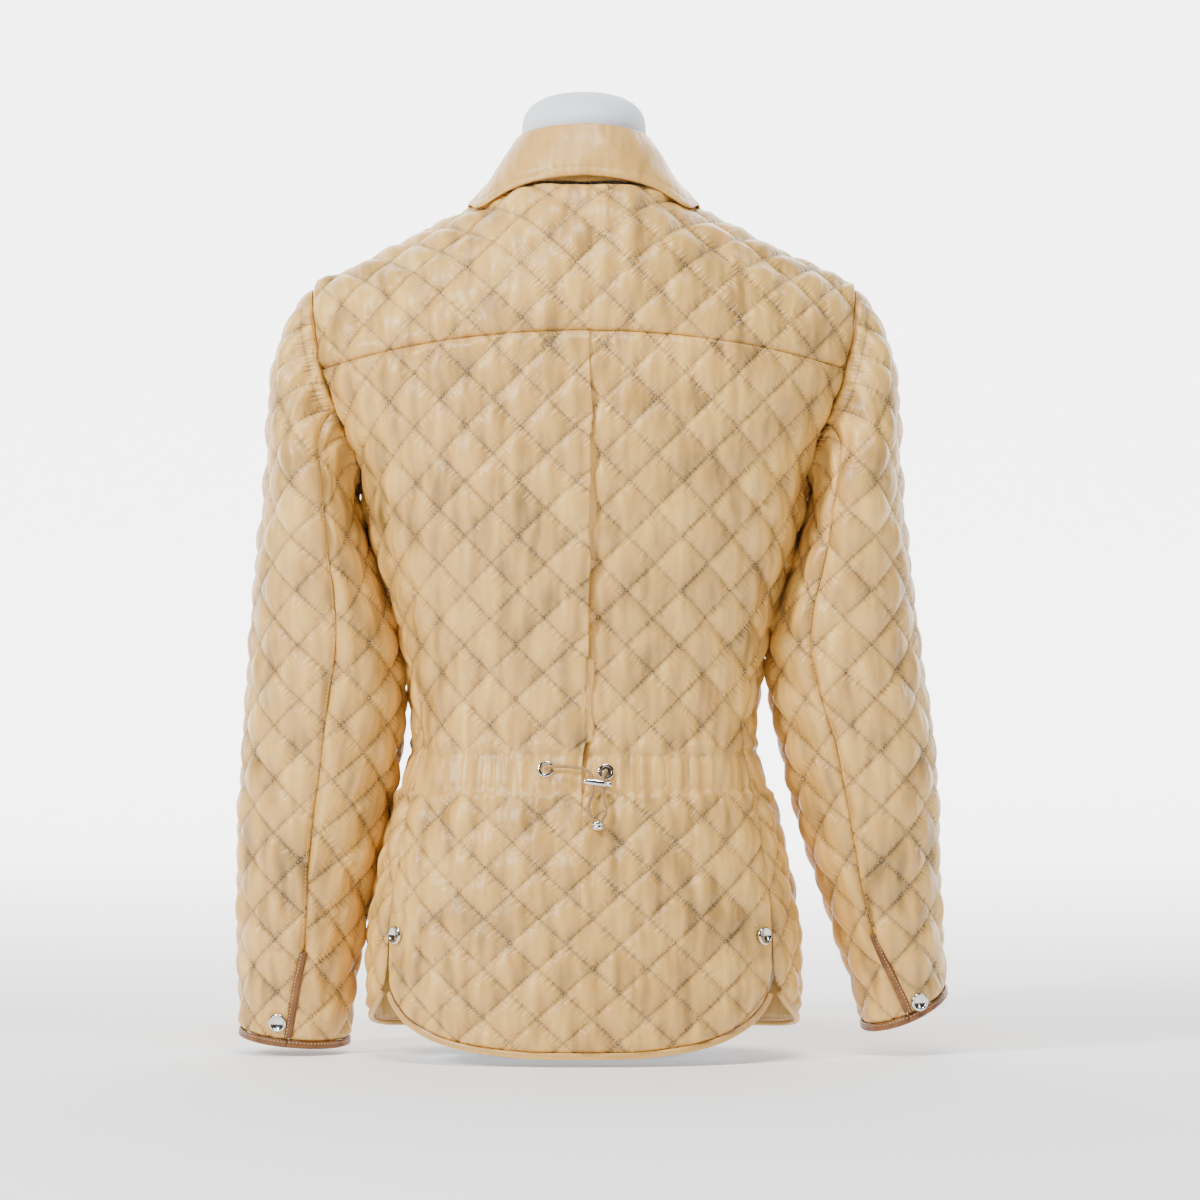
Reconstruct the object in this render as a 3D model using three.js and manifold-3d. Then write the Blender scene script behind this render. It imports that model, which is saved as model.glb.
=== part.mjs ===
// A quilted jacket on a limbless dress form. Millimetres, +Z up, the back of the jacket faces -Y.
// Cloth is a wall: its inside is plain and its outside carries the quilting. +X is the wearer's right.

import * as THREE from 'three';
import * as BufferGeometryUtils from 'three/addons/utils/BufferGeometryUtils.js';
import Module from 'manifold-3d';

const wasm = await Module();
wasm.setup();

// Cloth
const WALL = 1.7;              // shell, wadding and lining pressed together at a stitch
const PUFF = 2.8;              // how far a diamond stands above its stitches
const STEP = 20;               // half a diamond's diagonal
const SEAM = 0.22;             // each piece stops this far short of its seam line
const MARGIN = 6;              // quilted cells keep this far from a piece's edge

// Body sections: half width and the depths behind and in front of the side line
const MID_Y = 5;
const ROUND = 2.3;
const SECTIONS = [
  { z: -10, half: 158, back: 113, front: 106 },
  { z: 93, half: 158, back: 113, front: 106 },
  { z: 153, half: 148, back: 107, front: 104 },
  { z: 213, half: 133, back: 92, front: 96 },
  { z: 243, half: 125, back: 85, front: 93 },
  { z: 303, half: 130, back: 91, front: 103 },
  { z: 371, half: 151, back: 105, front: 122 },
  { z: 431, half: 165, back: 113, front: 122 },
  { z: 468, half: 184, back: 113, front: 114 },
  { z: 514, half: 204, back: 109, front: 106 },
  { z: 573, half: 218, back: 106, front: 98 },
  { z: 680, half: 226, back: 104, front: 90 },
];
const SHOULDER = [
  { x: 0, z: 673 }, { x: 30, z: 668 }, { x: 56, z: 652 }, { x: 78, z: 635 },
  { x: 110, z: 618 }, { x: 150, z: 599 }, { x: 204, z: 573 }, { x: 240, z: 552 },
];
const SHOULDER_ROUND = { back: 105, front: 165 };   // height over which each turns into the shoulder line
const TWIST = [{ z: 0, s: -5 }, { z: 228, s: -1 }, { z: 538, s: 4.5 }, { z: 700, s: 3 }];
const VENT_SHIFT = [{ z: 0, s: -6 }, { z: 228, s: -2 }, { z: 330, s: 0 }];
const UNDERARM_Z = 430;
const SIDE_ANGLE = [{ z: 0, deg: 62 }, { z: 110, deg: 62 }, { z: 228, deg: 68 }, { z: UNDERARM_Z, deg: 90 }];
const ARMHOLE = [                // how much of the half width the body pieces keep at the armhole
  { z: 430, share: 1 }, { z: 437, share: 0.985 }, { z: 455, share: 0.965 }, { z: 514, share: 0.95 },
  { z: 573, share: 0.93 },
];
const YOKE = { centre: 538, drop: 26, reach: 195 };
const NECK_BACK = [{ x: 0, z: 647 }, { x: 36, z: 647.5 }, { x: 60, z: 643.5 }];
const NECK_FRONT = [{ x: 74, z: 622 }, { x: 62, z: 606 }, { x: 40, z: 592 }, { x: 0, z: 586 }];
const NECK_POINT = 74;         // where the shoulder seam meets the collar
const NECK_START = 0.98;       // share of that distance at which the neck's curve starts
const SHOULDER_POINT = 203;

// Waist, hem and side vents
const CHANNEL = { low: 201, high: 226, sink: 2.6, spread: 16, fade: 7 };
const PLEAT = { lift: 3.2, sink: 4.2, spread: 30, bottom: [176, 246], top: [440, 530], atTop: 0.2 };
const HEM_BACK = [              // share of the way from the centre line to the vent, and the height there
  { share: 0, z: 9.5 }, { share: 0.3, z: 10.5 }, { share: 0.6, z: 17 }, { share: 0.8, z: 28 },
  { share: 0.92, z: 41 }, { share: 0.985, z: 56 }, { share: 1, z: 70 },
];
const HEM_FRONT = [
  { share: 0, z: 22 }, { share: 0.3, z: 20 }, { share: 0.6, z: 22 }, { share: 0.8, z: 31 },
  { share: 0.92, z: 42 }, { share: 0.985, z: 57 }, { share: 1, z: 70 },
];
const VENT_FOOT = 70;
const VENT_TOP = 100;
const VENT_SNAP = { z: 93, inside: 12 };
const VENT_HALF = 1.4;
const HEM_WIDE = 4.6;
const HEM_CROWD = 1.3;         // how much closer the hem's points lie near the vent
const HEM_BOUND = 0.93;        // share of the hem that the binding covers
const OVERLAP = { reach: 16, lift: 5.2, start: 22, fade: 46, plain: [18, 30] };

// Sleeves: level sections from the cuff to the upper arm, for the wearer's left and right
const SLEEVE_TOP = 418;
const SLEEVES = {
  left: {
    sign: -1,
    rings: [
      { z: 0, x: 219.5, half: 39.5, deep: 39, y: 27 }, { z: 33, x: 217, half: 39.5, deep: 39, y: 24 },
      { z: 78, x: 214.5, half: 43.5, deep: 40, y: 19 }, { z: 153, x: 206, half: 51, deep: 44, y: 12 },
      { z: 228, x: 197, half: 56, deep: 50, y: 7 }, { z: 310, x: 194.5, half: 52.5, deep: 58, y: 4 },
      { z: 377, x: 202.5, half: 38.5, deep: 66, y: 4 }, { z: SLEEVE_TOP, x: 205, half: 31, deep: 70, y: 5 },
    ],
    hind: [
      { z: 0, deg: 84 }, { z: 12, deg: 86 }, { z: 48, deg: 91 }, { z: 83, deg: 97 }, { z: 158, deg: 92 },
      { z: 249, deg: 94 }, { z: 355, deg: 108 }, { z: SLEEVE_TOP, deg: 112 },
    ],
    end: { level: 15.5, out: 3.5, back: -4 },
    snap: { x: 228, z: 25 },
    tabTop: 78,
  },
  right: {
    sign: 1,
    rings: [
      { z: 0, x: 246, half: 31.5, deep: 45, y: 27 }, { z: 46, x: 239, half: 32, deep: 45, y: 23 },
      { z: 78, x: 232, half: 35.5, deep: 46, y: 19 }, { z: 153, x: 217.5, half: 46, deep: 48, y: 12 },
      { z: 228, x: 206, half: 54, deep: 52, y: 7 }, { z: 310, x: 195, half: 53, deep: 58, y: 4 },
      { z: 377, x: 201.5, half: 38, deep: 66, y: 4 }, { z: SLEEVE_TOP, x: 204.5, half: 30.5, deep: 70, y: 5 },
    ],
    hind: [
      { z: 0, deg: 82 }, { z: 30, deg: 88 }, { z: 93, deg: 110 }, { z: 168, deg: 108 }, { z: 231, deg: 109 },
      { z: 270, deg: 115 }, { z: 341, deg: 122 }, { z: SLEEVE_TOP, deg: 124 },
    ],
    end: { level: 37, out: 13, back: -6 },
    snap: { x: 249, z: 41 },
    tabTop: 92,
  },
};
const FRONT_SEAM = 108;        // degrees from the outer line round to the front sleeve seam
const HEAD_GAP = 2.6;          // the sleeve head starts this far outside the armhole
const HEAD_PULL = 1.15;        // how strongly a column keeps its direction at both ends
const UNDERARM_LIFT = 2.0;     // the sleeve starts outside the body's wall under the arm
const HEAD = [                 // how a column leaves the armhole: share of the way down, pitch, swing to the side
  { share: 0, pitch: 52, swing: 0 }, { share: 0.3, pitch: 40, swing: 0.3 }, { share: 0.6, pitch: 30, swing: 0.4 },
  { share: 0.85, pitch: 16, swing: 0.2 }, { share: 1, pitch: 4, swing: 0 },
];

// Collar: t runs from the centre back (0) to the front end (1); y follows from the body at x and z
const COLLAR = {
  thick: 1.7, columns: 15, rows: 3, lie: 6.8, slope: 1.3, bulge: 7, ridgeClear: 0.4,
  standGap: 1.1, standDrop: 3.5, standIn: 4.4, standRise: 3,
};
const COLLAR_FOLD = { half: 52, back: 54, front: 60, y: 8, reach: 163 };
const COLLAR_FOLD_HEIGHT = [
  { t: 0, z: 694 }, { t: 0.3, z: 690 }, { t: 0.55, z: 678 }, { t: 0.8, z: 652 }, { t: 1, z: 624 },
];
const COLLAR_EDGE = [
  { t: 0, x: 0, z: 650, front: 0 }, { t: 0.18, x: 24, z: 648, front: 0 }, { t: 0.36, x: 48, z: 642, front: 0 },
  { t: 0.5, x: 67, z: 632, front: 0 }, { t: 0.58, x: 76, z: 627, front: 0 }, { t: 0.66, x: 82, z: 632, front: 0 },
  { t: 0.74, x: 84, z: 616, front: 1 }, { t: 0.86, x: 80, z: 588, front: 1 }, { t: 1, x: 70, z: 556, front: 1 },
];
const NECK_SEAM = [
  { t: 0, x: 0, z: 647, front: 0 }, { t: 0.25, x: 36, z: 647.5, front: 0 },
  { t: 0.42, x: 60, z: 643.5, front: 0 }, { t: 0.56, x: 74, z: 636, front: 0 },
  { t: 0.66, x: 73, z: 622, front: 1 }, { t: 0.77, x: 62, z: 606, front: 1 },
  { t: 0.88, x: 40, z: 592, front: 1 }, { t: 0.985, x: 3, z: 586, front: 1 },
];

// The dress form, as shares of the body's half width and depth
const FORM = [
  { z: 0, wide: 0.46, deep: 0.5 }, { z: 8, wide: 0.63, deep: 0.72 }, { z: 20, wide: 0.745, deep: 0.85 },
  { z: 40, wide: 0.85, deep: 0.91 }, { z: 70, wide: 0.915, deep: 0.94 }, { z: 110, wide: 0.93, deep: 0.94 },
  { z: 228, wide: 0.93, deep: 0.93 }, { z: 371, wide: 0.95, deep: 0.955 }, { z: 440, wide: 0.93, deep: 0.96 },
  { z: 514, wide: 0.89, deep: 0.967 }, { z: 573, wide: 0.86, deep: 0.967 }, { z: 680, wide: 0.86, deep: 0.967 },
];
const FORM_DROP = [              // how far the form's shoulder line lies under the cloth's
  { x: 0, drop: 62 }, { x: 40, drop: 46 }, { x: 60, drop: 27 }, { x: 80, drop: 9 }, { x: 98, drop: 3.4 },
  { x: 240, drop: 3.4 },
];
const FORM_LEVELS = [
  0, 3, 8, 14, 22, 34, 50, 70, 93, 130, 170, 210, 243, 280, 320, 371, 410, 440, 470, 500, 525, 545, 560, 572,
  584, 594, 602, 609,
];
const FORM_SIDES = 36;
const NECK_FORM = { half: 46.5, back: 48, front: 46, y: 8, foot: 530, dome: 694, top: 722 };

// Fasteners and cord
const SNAP = { radius: 7, tall: 2.7, lift: 0.7, plain: 24, fade: 4 };
const GROMMET = { radius: 6.2, bore: 3.4, tall: 1.5, lift: 0.85 };
const GROMMETS = { left: { x: -27.8, z: 216.5 }, right: { x: 16.4, z: 214.5 } };
const CORD_WIDTH = 2.5;
const CORD_SIDES = 8;
const CORD_CLEAR = 0.32;       // between the cord and the pieces that grip it
const CORD_ROUTES = {          // off is the distance from the cloth
  left: [
    { x: -27.8, z: 216.5, off: 1.3 }, { x: -27, z: 216.6, off: 4 }, { x: -24, z: 216.8, off: 6.4 },
    { x: -18, z: 216.9, off: 7.6 }, { x: -11, z: 216.6, off: 8.2 }, { x: -4, z: 215.8, off: 8.6 },
    { x: 2, z: 214, off: 8.8 }, { x: 5.4, z: 210.6, off: 8.8 }, { x: 6.6, z: 206, off: 8.6 },
    { x: 6.6, z: 201, off: 8.2 }, { x: 5.6, z: 195, off: 7.8 }, { x: 3.6, z: 188.5, off: 7.6 },
    { x: 4, z: 182.5, off: 7.7 }, { x: 6.6, z: 177.5, off: 7.9 }, { x: 7.6, z: 172.8, off: 8 },
  ],
  right: [
    { x: 16.4, z: 214.5, off: 1.3 }, { x: 16.3, z: 214.7, off: 4 }, { x: 15.8, z: 214, off: 7 },
    { x: 14.6, z: 211, off: 8.6 }, { x: 13.4, z: 206, off: 8.6 }, { x: 13.2, z: 201, off: 8.2 },
    { x: 14, z: 195, off: 7.8 }, { x: 15.6, z: 188.5, off: 7.6 }, { x: 15.6, z: 182.5, off: 7.7 },
    { x: 13.4, z: 177.5, off: 7.9 }, { x: 12.4, z: 172.8, off: 8 },
  ],
};
const LOCK = {                 // a tapered bar across both strands, with a button at its right end
  from: { x: -0.4, z: 206.2 }, to: { x: 20.4, z: 203.2 }, off: 8.3,
  profile: [
    { at: 0, r: 0 }, { at: 0.01, r: 1.9 }, { at: 0.08, r: 2.6 }, { at: 0.5, r: 2.95 }, { at: 0.76, r: 2.9 },
    { at: 0.8, r: 2.1 }, { at: 0.86, r: 2.1 }, { at: 0.88, r: 2.6 }, { at: 0.99, r: 2.3 }, { at: 1, r: 0 },
  ],
};
const BEAD = {
  x: 10, low: 169.6, high: 176.2, off: 8,
  profile: [
    { at: 0, r: 0 }, { at: 0.01, r: 3.2 }, { at: 0.2, r: 4.3 }, { at: 0.8, r: 4.5 }, { at: 0.99, r: 4 },
    { at: 1, r: 0 },
  ],
};
const FRONT_SNAPS = { count: 6, from: 95, step: 84 };

const CLOTH = { color: 0xc5a377, roughness: 0.42, metalness: 0 };
const LEATHER = { color: 0x8a5a2b, roughness: 0.6, metalness: 0 };
const STEEL = { color: 0xb9b6ae, roughness: 0.25, metalness: 1 };
const CORD = { color: 0xcdb58c, roughness: 0.8, metalness: 0 };
const LINEN = { color: 0xe9ecf2, roughness: 0.9, metalness: 0 };

const jacket = new THREE.Group();
const radians = THREE.MathUtils.degToRad;

function addMesh(name, geometry, look) {
  const mesh = new THREE.Mesh(geometry, new THREE.MeshStandardMaterial(look));
  mesh.name = name;
  jacket.add(mesh);
  return mesh;
}

// A smooth curve through a table's rows, flat beyond its ends
function through(rows, key, value) {
  const slope = rows.map((row, i) => {
    const a = rows[Math.max(i - 1, 0)];
    const b = rows[Math.min(i + 1, rows.length - 1)];
    return (b[value] - a[value]) / (b[key] - a[key]);
  });
  return (at) => {
    const down = rows[rows.length - 1][key] < rows[0][key];
    let i = rows.findIndex((row) => (down ? row[key] < at : row[key] > at));
    if (i === 0) return rows[0][value];
    if (i < 0) return rows[rows.length - 1][value];
    i -= 1;
    const wide = rows[i + 1][key] - rows[i][key];
    const t = (at - rows[i][key]) / wide;
    const t2 = t * t;
    const t3 = t2 * t;
    return rows[i][value] * (2 * t3 - 3 * t2 + 1) + slope[i] * wide * (t3 - 2 * t2 + t)
      + rows[i + 1][value] * (3 * t2 - 2 * t3) + slope[i + 1] * wide * (t3 - t2);
  };
}

function smooth(from, to, at) {
  const t = THREE.MathUtils.clamp((at - from) / (to - from), 0, 1);
  return t * t * (3 - 2 * t);
}

const halfWidth = through(SECTIONS, 'z', 'half');
const backDepth = through(SECTIONS, 'z', 'back');
const frontDepth = through(SECTIONS, 'z', 'front');
const shoulderLine = through(SHOULDER, 'x', 'z');
const twist = through(TWIST, 'z', 's');
const sideAngle = through(SIDE_ANGLE, 'z', 'deg');
const armholeShare = through(ARMHOLE, 'z', 'share');
const ventShift = through(VENT_SHIFT, 'z', 's');
const hemBack = through(HEM_BACK, 'share', 'z');
const hemFront = through(HEM_FRONT, 'share', 'z');

// One half section of the body from the centre back to the centre front, by arc length
const RING_STEPS = 90;
const rings = new Map();

function ring(z) {
  const key = z.toFixed(2);
  if (rings.has(key)) return rings.get(key);
  const out = { x: [], y: [], len: [] };
  for (let i = 0; i <= RING_STEPS; i += 1) {
    const angle = (Math.PI * i) / RING_STEPS;
    const depth = angle < Math.PI / 2 ? -backDepth(z) : frontDepth(z);
    const x = halfWidth(z) * Math.sin(angle) ** (2 / ROUND);
    const y = MID_Y + depth * Math.abs(Math.cos(angle)) ** (2 / ROUND);
    out.len.push(i ? out.len[i - 1] + Math.hypot(x - out.x[i - 1], y - out.y[i - 1]) : 0);
    out.x.push(i === RING_STEPS ? 0 : x);
    out.y.push(y);
  }
  rings.set(key, out);
  return out;
}

function lengthAtAngle(z, deg) {
  return ring(z).len[Math.round((deg / 180) * RING_STEPS)];
}

function halfRound(z) {
  return ring(z).len[RING_STEPS];
}

// Share of the full depth that is left near the shoulder line
function shoulderTurn(x, z, front, drop = 0) {
  const reach = front ? SHOULDER_ROUND.front : SHOULDER_ROUND.back;
  const rise = THREE.MathUtils.clamp((shoulderLine(x) - drop - z) / reach, 0, 1);
  return Math.sqrt(1 - (1 - rise) ** 2);
}

// The inside face of the body at arc length s from the centre of the back, at height z
function bodyAt(s, z) {
  const r = ring(z);
  const half = r.len[RING_STEPS];
  let along = Math.abs(s);
  let sign = Math.sign(s) || 1;
  if (along > half) {
    along = 2 * half - along;
    sign = -sign;
  }
  let lo = 0;
  let hi = RING_STEPS;
  while (hi - lo > 1) {
    const mid = (lo + hi) >> 1;
    if (r.len[mid] <= along) lo = mid;
    else hi = mid;
  }
  const t = (along - r.len[lo]) / (r.len[hi] - r.len[lo]);
  const x = r.x[lo] + (r.x[hi] - r.x[lo]) * t;
  const y = r.y[lo] + (r.y[hi] - r.y[lo]) * t;
  return new THREE.Vector3(sign * x, MID_Y + (y - MID_Y) * shoulderTurn(x, z, y > MID_Y), z);
}

// Arc length from the centre back (or centre front) to the point of the section that has this x
function lengthAtX(x, z, front) {
  const r = ring(z);
  const half = RING_STEPS / 2;
  for (let i = 0; i < half; i += 1) {
    const a = front ? RING_STEPS - i : i;
    const b = front ? a - 1 : a + 1;
    if (r.x[b] >= x || i === half - 1) {
      const t = THREE.MathUtils.clamp((x - r.x[a]) / (r.x[b] - r.x[a]), 0, 1);
      const along = r.len[a] + (r.len[b] - r.len[a]) * t;
      return front ? r.len[RING_STEPS] - along : along;
    }
  }
  return 0;
}

// Cloth coordinates: u across from the centre line, v up. Above the underarm v follows the cloth, so that
// it stays true over the shoulder.
const CLIMB = { most: 3, least: 0.02, share: 0.3 };
const columns = new Map();

function bodyCloth(front, sign) {
  const sOf = (u, z) => (front ? sign * (halfRound(z) - u) + twist(z) : u + twist(z));
  const climb = (u) => {
    const key = `${front} ${sign} ${u.toFixed(2)}`;
    if (columns.has(key)) return columns.get(key);
    const out = [{ z: UNDERARM_Z, v: UNDERARM_Z }];
    let last = bodyAt(sOf(u, UNDERARM_Z), UNDERARM_Z);
    for (let left = Infinity; left > CLIMB.least / 10;) {
      const { z, v } = out[out.length - 1];
      left = Math.max(shoulderLine(Math.abs(last.x)) - z, 1e-4);
      const level = z + Math.min(left, THREE.MathUtils.clamp(left * CLIMB.share, CLIMB.least, CLIMB.most));
      const here = bodyAt(sOf(u, level), level);
      out.push({ z: level, v: v + here.distanceTo(last) });
      last = here;
    }
    columns.set(key, out);
    return out;
  };
  const between = (rows, from, to, at) => {
    if (at <= rows[0][from]) return at;
    let i = rows.findIndex((row) => row[from] >= at);
    if (i < 1) i = rows.length - 1;
    const [a, b] = [rows[i - 1], rows[i]];
    const t = THREE.MathUtils.clamp((at - a[from]) / (b[from] - a[from] || 1), 0, 1);
    return a[to] + (b[to] - a[to]) * t;
  };
  return {
    point: (u, v) => {
      const z = between(climb(u), 'v', 'z', v);
      return bodyAt(sOf(u, z), z);
    },
    zAt: (u, v) => between(climb(u), 'v', 'z', v),
    vAt: (u, z) => between(climb(u), 'z', 'v', z),
    topOf: (u) => climb(u)[climb(u).length - 1].v,
    flip: front && sign > 0,
  };
}

// Outward normal of a cloth surface by small differences
function normalAt(cloth, u, v) {
  const e = 1.5;
  const across = cloth.point(u + e, v).sub(cloth.point(u - e, v));
  const up = cloth.point(u, v + e).sub(cloth.point(u, v - e));
  const n = across.cross(up);
  return n.multiplyScalar((cloth.flip ? -1 : 1) / n.length());
}

// Quilting: lines of stitches along both diagonals, a diamond puffed between them. Columns and rows count
// half diamonds.
const LATTICE = { column: 10, row: 8, lowRow: 144.5, lowStep: 18.2 };

function bodyRow(v) {
  const waist = (CHANNEL.low + CHANNEL.high) / 2;
  return v > waist ? (v - LATTICE.row) / STEP : (v - LATTICE.lowRow) / LATTICE.lowStep;
}

function diamond(column, row) {
  const a = (column + row) / 2;
  const b = (column - row) / 2;
  const away = Math.min(Math.abs(a - Math.round(a)), Math.abs(b - Math.round(b)));
  return Math.min(1, 2 * away) ** 0.8;
}

function insideOutline(outline, u, v) {
  let inside = false;
  outline.forEach(([u1, v1], i) => {
    const [u2, v2] = outline[(i + 1) % outline.length];
    if ((v1 > v) !== (v2 > v) && u < ((u2 - u1) * (v - v1)) / (v2 - v1) + u1) inside = !inside;
  });
  return inside;
}

function edgeDistance(outline, u, v) {
  let best = Infinity;
  outline.forEach(([u1, v1], i) => {
    const [u2, v2] = outline[(i + 1) % outline.length];
    const du = u2 - u1;
    const dv = v2 - v1;
    const t = THREE.MathUtils.clamp(((u - u1) * du + (v - v1) * dv) / (du * du + dv * dv || 1), 0, 1);
    best = Math.min(best, Math.hypot(u - u1 - du * t, v - v1 - dv * t));
  });
  return best;
}

// The cells of a grid that lie well inside an outline, without cells that touch at a corner only
function keptCells(outline, us, vs) {
  const isClear = (u, v) => insideOutline(outline, u, v) && edgeDistance(outline, u, v) > MARGIN;
  const clear = us.map((u) => vs.map((v) => isClear(u, v)));
  const kept = us.map((u, i) => vs.map((v, j) => i + 1 < us.length && j + 1 < vs.length
    && clear[i][j] && clear[i + 1][j] && clear[i][j + 1] && clear[i + 1][j + 1]));
  for (let changed = true; changed;) {
    changed = false;
    for (let i = 1; i < us.length; i += 1) {
      for (let j = 1; j < vs.length; j += 1) {
        const rising = kept[i][j] && kept[i - 1][j - 1] && !kept[i - 1][j] && !kept[i][j - 1];
        const falling = !kept[i][j] && !kept[i - 1][j - 1] && kept[i - 1][j] && kept[i][j - 1];
        if (rising || falling) {
          kept[rising ? i : i - 1][j] = false;
          changed = true;
        }
      }
    }
  }
  return kept;
}

function insideCircle(a, b, c, d) {
  const [ax, ay, bx, by, cx, cy] = [a[0] - d[0], a[1] - d[1], b[0] - d[0], b[1] - d[1], c[0] - d[0], c[1] - d[1]];
  return (ax * ax + ay * ay) * (bx * cy - cx * by) - (bx * bx + by * by) * (ax * cy - cx * ay)
    + (cx * cx + cy * cy) * (ax * by - bx * ay) > 1e-6;
}

function turn(a, b, c) {
  return (b[0] - a[0]) * (c[1] - a[1]) - (b[1] - a[1]) * (c[0] - a[0]);
}

// Swaps the shared edges of neighbouring triangles until none is needlessly long and thin
const MOST_PASSES = 60;
function evened(triangles, points) {
  const out = triangles.map((t) => (turn(...t.map((k) => points[k])) < 0 ? [t[0], t[2], t[1]] : [...t]));
  for (let pass = 0, changed = true; changed && pass < MOST_PASSES; pass += 1) {
    changed = false;
    const edges = new Map();
    out.forEach((t, k) => t.forEach((a, i) => edges.set(`${a} ${t[(i + 1) % 3]}`, [k, t[(i + 2) % 3]])));
    const touched = new Set();
    const made = new Set();
    edges.forEach(([k, c], key) => {
      const [a, b] = key.split(' ').map(Number);
      const twin = edges.get(`${b} ${a}`);
      if (!twin || touched.has(k) || touched.has(twin[0])) return;
      const d = twin[1];
      const [pa, pb, pc, pd] = [a, b, c, d].map((i) => points[i]);
      if ([`${c} ${d}`, `${d} ${c}`].some((edge) => made.has(edge) || edges.has(edge))) return;
      if (turn(pc, pd, pb) <= 1e-3 || turn(pd, pc, pa) <= 1e-3 || !insideCircle(pa, pb, pc, pd)) return;
      made.add(`${c} ${d}`);
      out[k] = [c, d, b];
      out[twin[0]] = [d, c, a];
      touched.add(k).add(twin[0]);
      changed = true;
    });
  }
  return out;
}

// Triangles of a face: its outline's points first, then the grid's points inside it
function faceOf(outline, us, vs, height) {
  const kept = keptCells(outline, us, vs);
  const points = outline.map((p) => [...p]);
  const index = new Map();
  const node = (i, j) => {
    const key = `${i} ${j}`;
    if (!index.has(key)) {
      index.set(key, points.length);
      points.push([us[i], vs[j]]);
    }
    return index.get(key);
  };
  const triangles = [];
  const next = new Map();
  const has = (i, j) => i >= 0 && j >= 0 && kept[i] && kept[i][j];
  us.forEach((u, i) => vs.forEach((v, j) => {
    if (!has(i, j)) return;
    const c = [node(i, j), node(i + 1, j), node(i + 1, j + 1), node(i, j + 1)];
    const h = c.map((k) => height(points[k][0], points[k][1]));
    if (h[0] + h[2] <= h[1] + h[3]) triangles.push([c[0], c[1], c[2]], [c[0], c[2], c[3]]);
    else triangles.push([c[0], c[1], c[3]], [c[1], c[2], c[3]]);
    if (!has(i, j - 1)) next.set(c[0], c[1]);
    if (!has(i + 1, j)) next.set(c[1], c[2]);
    if (!has(i, j + 1)) next.set(c[2], c[3]);
    if (!has(i - 1, j)) next.set(c[3], c[0]);
  }));
  const loops = [];
  while (next.size) {
    const loop = [];
    let at = next.keys().next().value;
    while (next.has(at)) {
      loop.push(at);
      const then = next.get(at);
      next.delete(at);
      at = then;
    }
    loops.push(loop);
  }
  const flat = (k) => new THREE.Vector2(points[k][0], points[k][1]);
  const order = [...outline.keys(), ...loops.flat()];
  const strip = THREE.ShapeUtils.triangulateShape(
    [...outline.keys()].map(flat),
    loops.map((loop) => loop.map(flat)),
  );
  return { points, triangles: [...triangles, ...evened(strip.map((t) => t.map((k) => order[k])), points)] };
}

function volumeOf(vertices, triangles) {
  return triangles.reduce((sum, [a, b, c]) => sum
    + vertices[a].dot(new THREE.Vector3().crossVectors(vertices[b], vertices[c])), 0);
}

function closedGeometry(vertices, triangles) {
  const out = volumeOf(vertices, triangles) > 0;
  const geometry = new THREE.BufferGeometry();
  const positions = vertices.flatMap((p) => p.toArray());
  geometry.setAttribute('position', new THREE.Float32BufferAttribute(positions, 3));
  geometry.setIndex(triangles.flatMap(([a, b, c]) => (out ? [a, b, c] : [a, c, b])));
  return geometry;
}

// A piece of cloth: a quilted outside over a plain inside, closed along its outline
function clothPiece({ cloth, outline, us, vs, innerUs, innerVs, height, shift }) {
  const top = faceOf(outline, us, vs, height);
  const under = faceOf(outline, innerUs, innerVs, () => 0);
  const place = ([u, v], thick) => {
    const n = normalAt(cloth, u, v);
    return cloth.point(u, v).addScaledVector(n, thick + shift(u, v));
  };
  const rim = outline.length;
  const outer = top.points.map((p, k) => place(p, WALL + (k < rim ? 0 : PUFF * height(...p))));
  const inner = under.points.map((p) => place(p, 0));
  const base = outer.length;
  const triangles = [...top.triangles, ...under.triangles.map(([a, b, c]) => [a + base, c + base, b + base])];
  for (let k = 0; k < rim; k += 1) {
    const m = (k + 1) % rim;
    triangles.push([k, base + k, base + m], [k, base + m, m]);
  }
  return closedGeometry([...outer, ...inner], triangles);
}

function gridLines(from, to, step, offset) {
  const out = [];
  for (let at = offset + Math.ceil((from - offset) / step) * step; at <= to; at += step) out.push(at);
  return out;
}

// An outline's sides are sampled to about one grid step, so that its triangles stay even
function sampled(points, step = STEP) {
  const out = [];
  points.forEach(([u, v], i) => {
    if (i === points.length - 1) return;
    const [u2, v2] = points[i + 1];
    const parts = Math.max(1, Math.round(Math.hypot(u2 - u, v2 - v) / step));
    for (let k = 0; k < parts; k += 1) out.push([u + ((u2 - u) * k) / parts, v + ((v2 - v) * k) / parts]);
  });
  out.push(points[points.length - 1]);
  return out;
}

// Evenly spaced points along a formula
function along(parts, at) {
  return Array.from({ length: parts + 1 }, (_, k) => at(k / parts));
}

function shrink(outline, by) {
  const area = outline.reduce((sum, [u, v], i) => {
    const [u2, v2] = outline[(i + 1) % outline.length];
    return sum + u * v2 - u2 * v;
  }, 0);
  const sign = area > 0 ? 1 : -1;
  return outline.map(([u, v], i) => {
    const [u0, v0] = outline[(i + outline.length - 1) % outline.length];
    const [u1, v1] = outline[(i + 1) % outline.length];
    const a = new THREE.Vector2(u - u0, v - v0).normalize();
    const b = new THREE.Vector2(u1 - u, v1 - v).normalize();
    const t = a.add(b).normalize();
    return [u - t.y * by * sign, v + t.x * by * sign];
  });
}

function tidyOutline(points) {
  const out = points.filter(([u, v], i) => {
    const [u0, v0] = points[(i + points.length - 1) % points.length];
    return Math.hypot(u - u0, v - v0) > 2;
  });
  const area = out.reduce((sum, [u, v], i) => {
    const [u2, v2] = out[(i + 1) % out.length];
    return sum + u * v2 - u2 * v;
  }, 0);
  return shrink(area > 0 ? out : out.reverse(), SEAM);
}

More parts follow.
